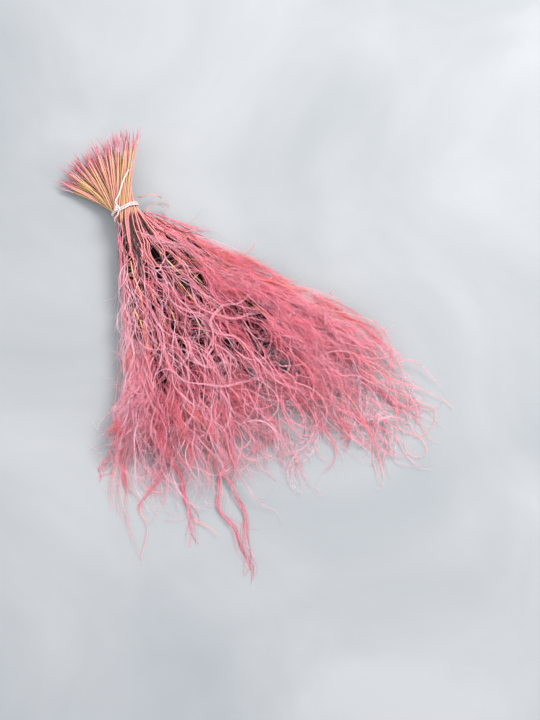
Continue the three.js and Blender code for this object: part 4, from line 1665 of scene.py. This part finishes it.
def make_string(name, path, fray=0.0):
    """A string along a path. With fray its plies come apart at the end."""
    side, other = frames_along(path)
    run = np.concatenate(([0.0], np.cumsum(np.linalg.norm(np.diff(path, axis=0), axis=1))))
    loosening = 1.0 + fray * smooth((run - run[-1] + FRAY_LENGTH) / FRAY_LENGTH)
    plies = []
    for ply in range(PLY_COUNT):
        turn = math.tau * (run / PLY_TURN + ply / PLY_COUNT)
        offset = np.cos(turn)[:, None] * side + np.sin(turn)[:, None] * other
        plies.append(path + offset * (PLY_RADIUS * loosening)[:, None])
    points = np.array(plies)
    thickness = np.full(points.shape[:2], PLY_RADIUS)
    tone = np.linspace(0.2, 0.8, PLY_COUNT)
    mesh = lines_mesh(name, points, thickness, tone, np.full(points.shape[:2], FUZZ))
    return grow_feathered(
        name, mesh, 0.0004, 0.0022, 0.00003, lean=0.8, seed=7, sides=8, finish=STRING_FINISH)


# %% The loop round the straws
KNOT_ANGLE = math.radians(112.0)
STEEPEST_STRAW = math.radians(31.0)
STRAW_MARGIN, STRING_MARGIN = 0.95, 0.15
STRING_CLEAR = (STRAW_MARGIN + STRING_RADIUS) / math.cos(STEEPEST_STRAW) + STRING_MARGIN
WINDING_TURNS = 2
WINDING_PITCH = 2.1


def round_the_straws(angle, x, clear):
    """A point on a loop pulled tight round the straws at a distance x. The angle turns from +Y to +Z."""
    y, z = straw_points(np.full((STRAW_COUNT, 1), x), straw_places[:, 0], straw_places[:, 1])
    outward = np.array((0.0, math.cos(angle), math.sin(angle)))
    middles = np.column_stack((np.full(STRAW_COUNT, x), y[:, 0], z[:, 0]))
    return middles[np.argmax(middles @ outward)] + outward * clear


def winding_path():
    points = []
    for angle in np.linspace(0.0, math.tau * WINDING_TURNS, 90):
        x = -WINDING_PITCH * WINDING_TURNS / 2 + WINDING_PITCH * angle / math.tau
        points.append(round_the_straws(KNOT_ANGLE + angle, x, STRING_CLEAR))
    return smooth_path(points, 420)


settle(make_string("string_winding", winding_path()), "string", "tie_winding")

# %% Knot and tails
KNOT_SIZE = 1.15
knot_middle = round_the_straws(KNOT_ANGLE, 0.0, STRING_CLEAR) + np.array((0.0, -0.6, 2.2))


def knot_path():
    """A trefoil, which is an overhand knot with its ends joined, pressed a little flat."""
    t = np.linspace(0.0, math.tau, 160)
    x = KNOT_SIZE * (np.sin(t) + 2 * np.sin(2 * t))
    y = KNOT_SIZE * (np.cos(t) - 2 * np.cos(2 * t)) * 0.85
    z = -KNOT_SIZE * np.sin(3 * t) * 0.95
    return knot_middle + np.column_stack((x, y, z))


settle(make_string("string_knot", knot_path()), "string", "tie_knot")
long_tail = settle(make_string("string_tail", tail_path, fray=0.6), "string", "tie_tail_long")

short_route = [knot_middle + np.array((3.0, 0.0, -0.6))]
for share in np.linspace(0.1, 1.0, 8):
    angle = KNOT_ANGLE + math.radians(12 + 78 * share)
    short_route.append(round_the_straws(angle, 5.6 + 2 * share, STRING_CLEAR))
short_tail = make_string("string_end", smooth_path(short_route, 80), fray=0.6)
settle(short_tail, "string", "tie_tail_short")

# %% [markdown]
# ## Curled dry leaves
# Two narrow leaves spring from the side of the neck and curl down to the floor. A leaf is a thin folded
# blade, so it is lofted along its route with a lens-shaped section that turns and narrows to the tip.

# %% Leaves
LEAF_STEPS = 90
LEAF_HALF_WIDTH = 0.75
LEAF_LOWEST = 0.25
LEAF_TONE = 0.30
# The folded section: across and up, in half widths.
LEAF_SECTION = [(-1.0, 0.28), (0.0, -0.12), (1.0, 0.28), (0.97, 0.42), (0.0, 0.10), (-0.97, 0.42)]


def make_leaf(name, route, node, turns, seed):
    """A folded blade along a route, which twists by a number of turns."""
    rng = np.random.default_rng(seed)
    path = smooth_path(route, LEAF_STEPS)
    side, other = frames_along(path)
    t = np.linspace(0.0, 1.0, len(path))
    twist = turns * math.tau * t + 0.5 * np.sin(9 * t)
    wide = np.cos(twist)[:, None] * side + np.sin(twist)[:, None] * other
    thin = np.cos(twist)[:, None] * other - np.sin(twist)[:, None] * side
    ripple = 1 + 0.1 * np.sin(31 * t + rng.uniform(0, 6))
    width = LEAF_HALF_WIDTH * np.sqrt(np.clip(1 - t ** 3, 0.02, 1)) * ripple
    rings = [path + wide * (width * a)[:, None] + thin * (width * b)[:, None] for a, b in LEAF_SECTION]
    points = np.stack(rings, axis=1)
    points[:, :, 2] = np.maximum(points[:, :, 2], LEAF_LOWEST)
    around = len(LEAF_SECTION)
    faces = []
    for i in range(LEAF_STEPS - 1):
        for j in range(around):
            k = (j + 1) % around
            faces.append((i * around + j, i * around + k, (i + 1) * around + k, (i + 1) * around + j))
    faces.append(tuple(reversed(range(around))))
    faces.append(tuple((LEAF_STEPS - 1) * around + j for j in range(around)))
    mesh = bpy.data.meshes.new(name)
    mesh.from_pydata((points.reshape(-1, 3) * MM + origin).tolist(), [], faces)
    uv = mesh.uv_layers.new(name="OFBake")
    for face in mesh.polygons:
        for loop in face.loop_indices:
            corner = mesh.loops[loop].vertex_index
            ring, place = divmod(corner, around)
            along = UV_MARGIN + (1 - 2 * UV_MARGIN) * ring / (LEAF_STEPS - 1)
            uv.data[loop].uv = (LEAF_TONE + 0.01 * place, along)
    mesh.materials.append(STEM_FINISH)
    bm = bmesh.new()
    bm.from_mesh(mesh)
    bmesh.ops.recalc_face_normals(bm, faces=bm.faces)
    bm.to_mesh(mesh)
    bm.free()
    mesh.shade_smooth()
    leaf = bpy.data.objects.new(name, mesh)
    bpy.context.scene.collection.objects.link(leaf)
    return settle(leaf, "leaf", node)


CURLED_ROUTE = [
    (-9, 19.2, 17), (-4.5, 25.2, 18), (-5.5, 33, 14.5), (-2.5, 40.5, 9.5), (6, 46.5, 4), (15, 47, 1.4),
]
TRAILING_ROUTE = [
    (12, 20.2, 15), (8.5, 28.5, 14), (8, 36, 10.5), (13, 40.5, 6), (21, 38.5, 2.6), (27, 33, 1.4),
]
make_leaf("curled_leaf", CURLED_ROUTE, "leaf_curled", turns=1.2, seed=5)
make_leaf("trailing_leaf", TRAILING_ROUTE, "leaf_trailing", turns=0.8, seed=6)
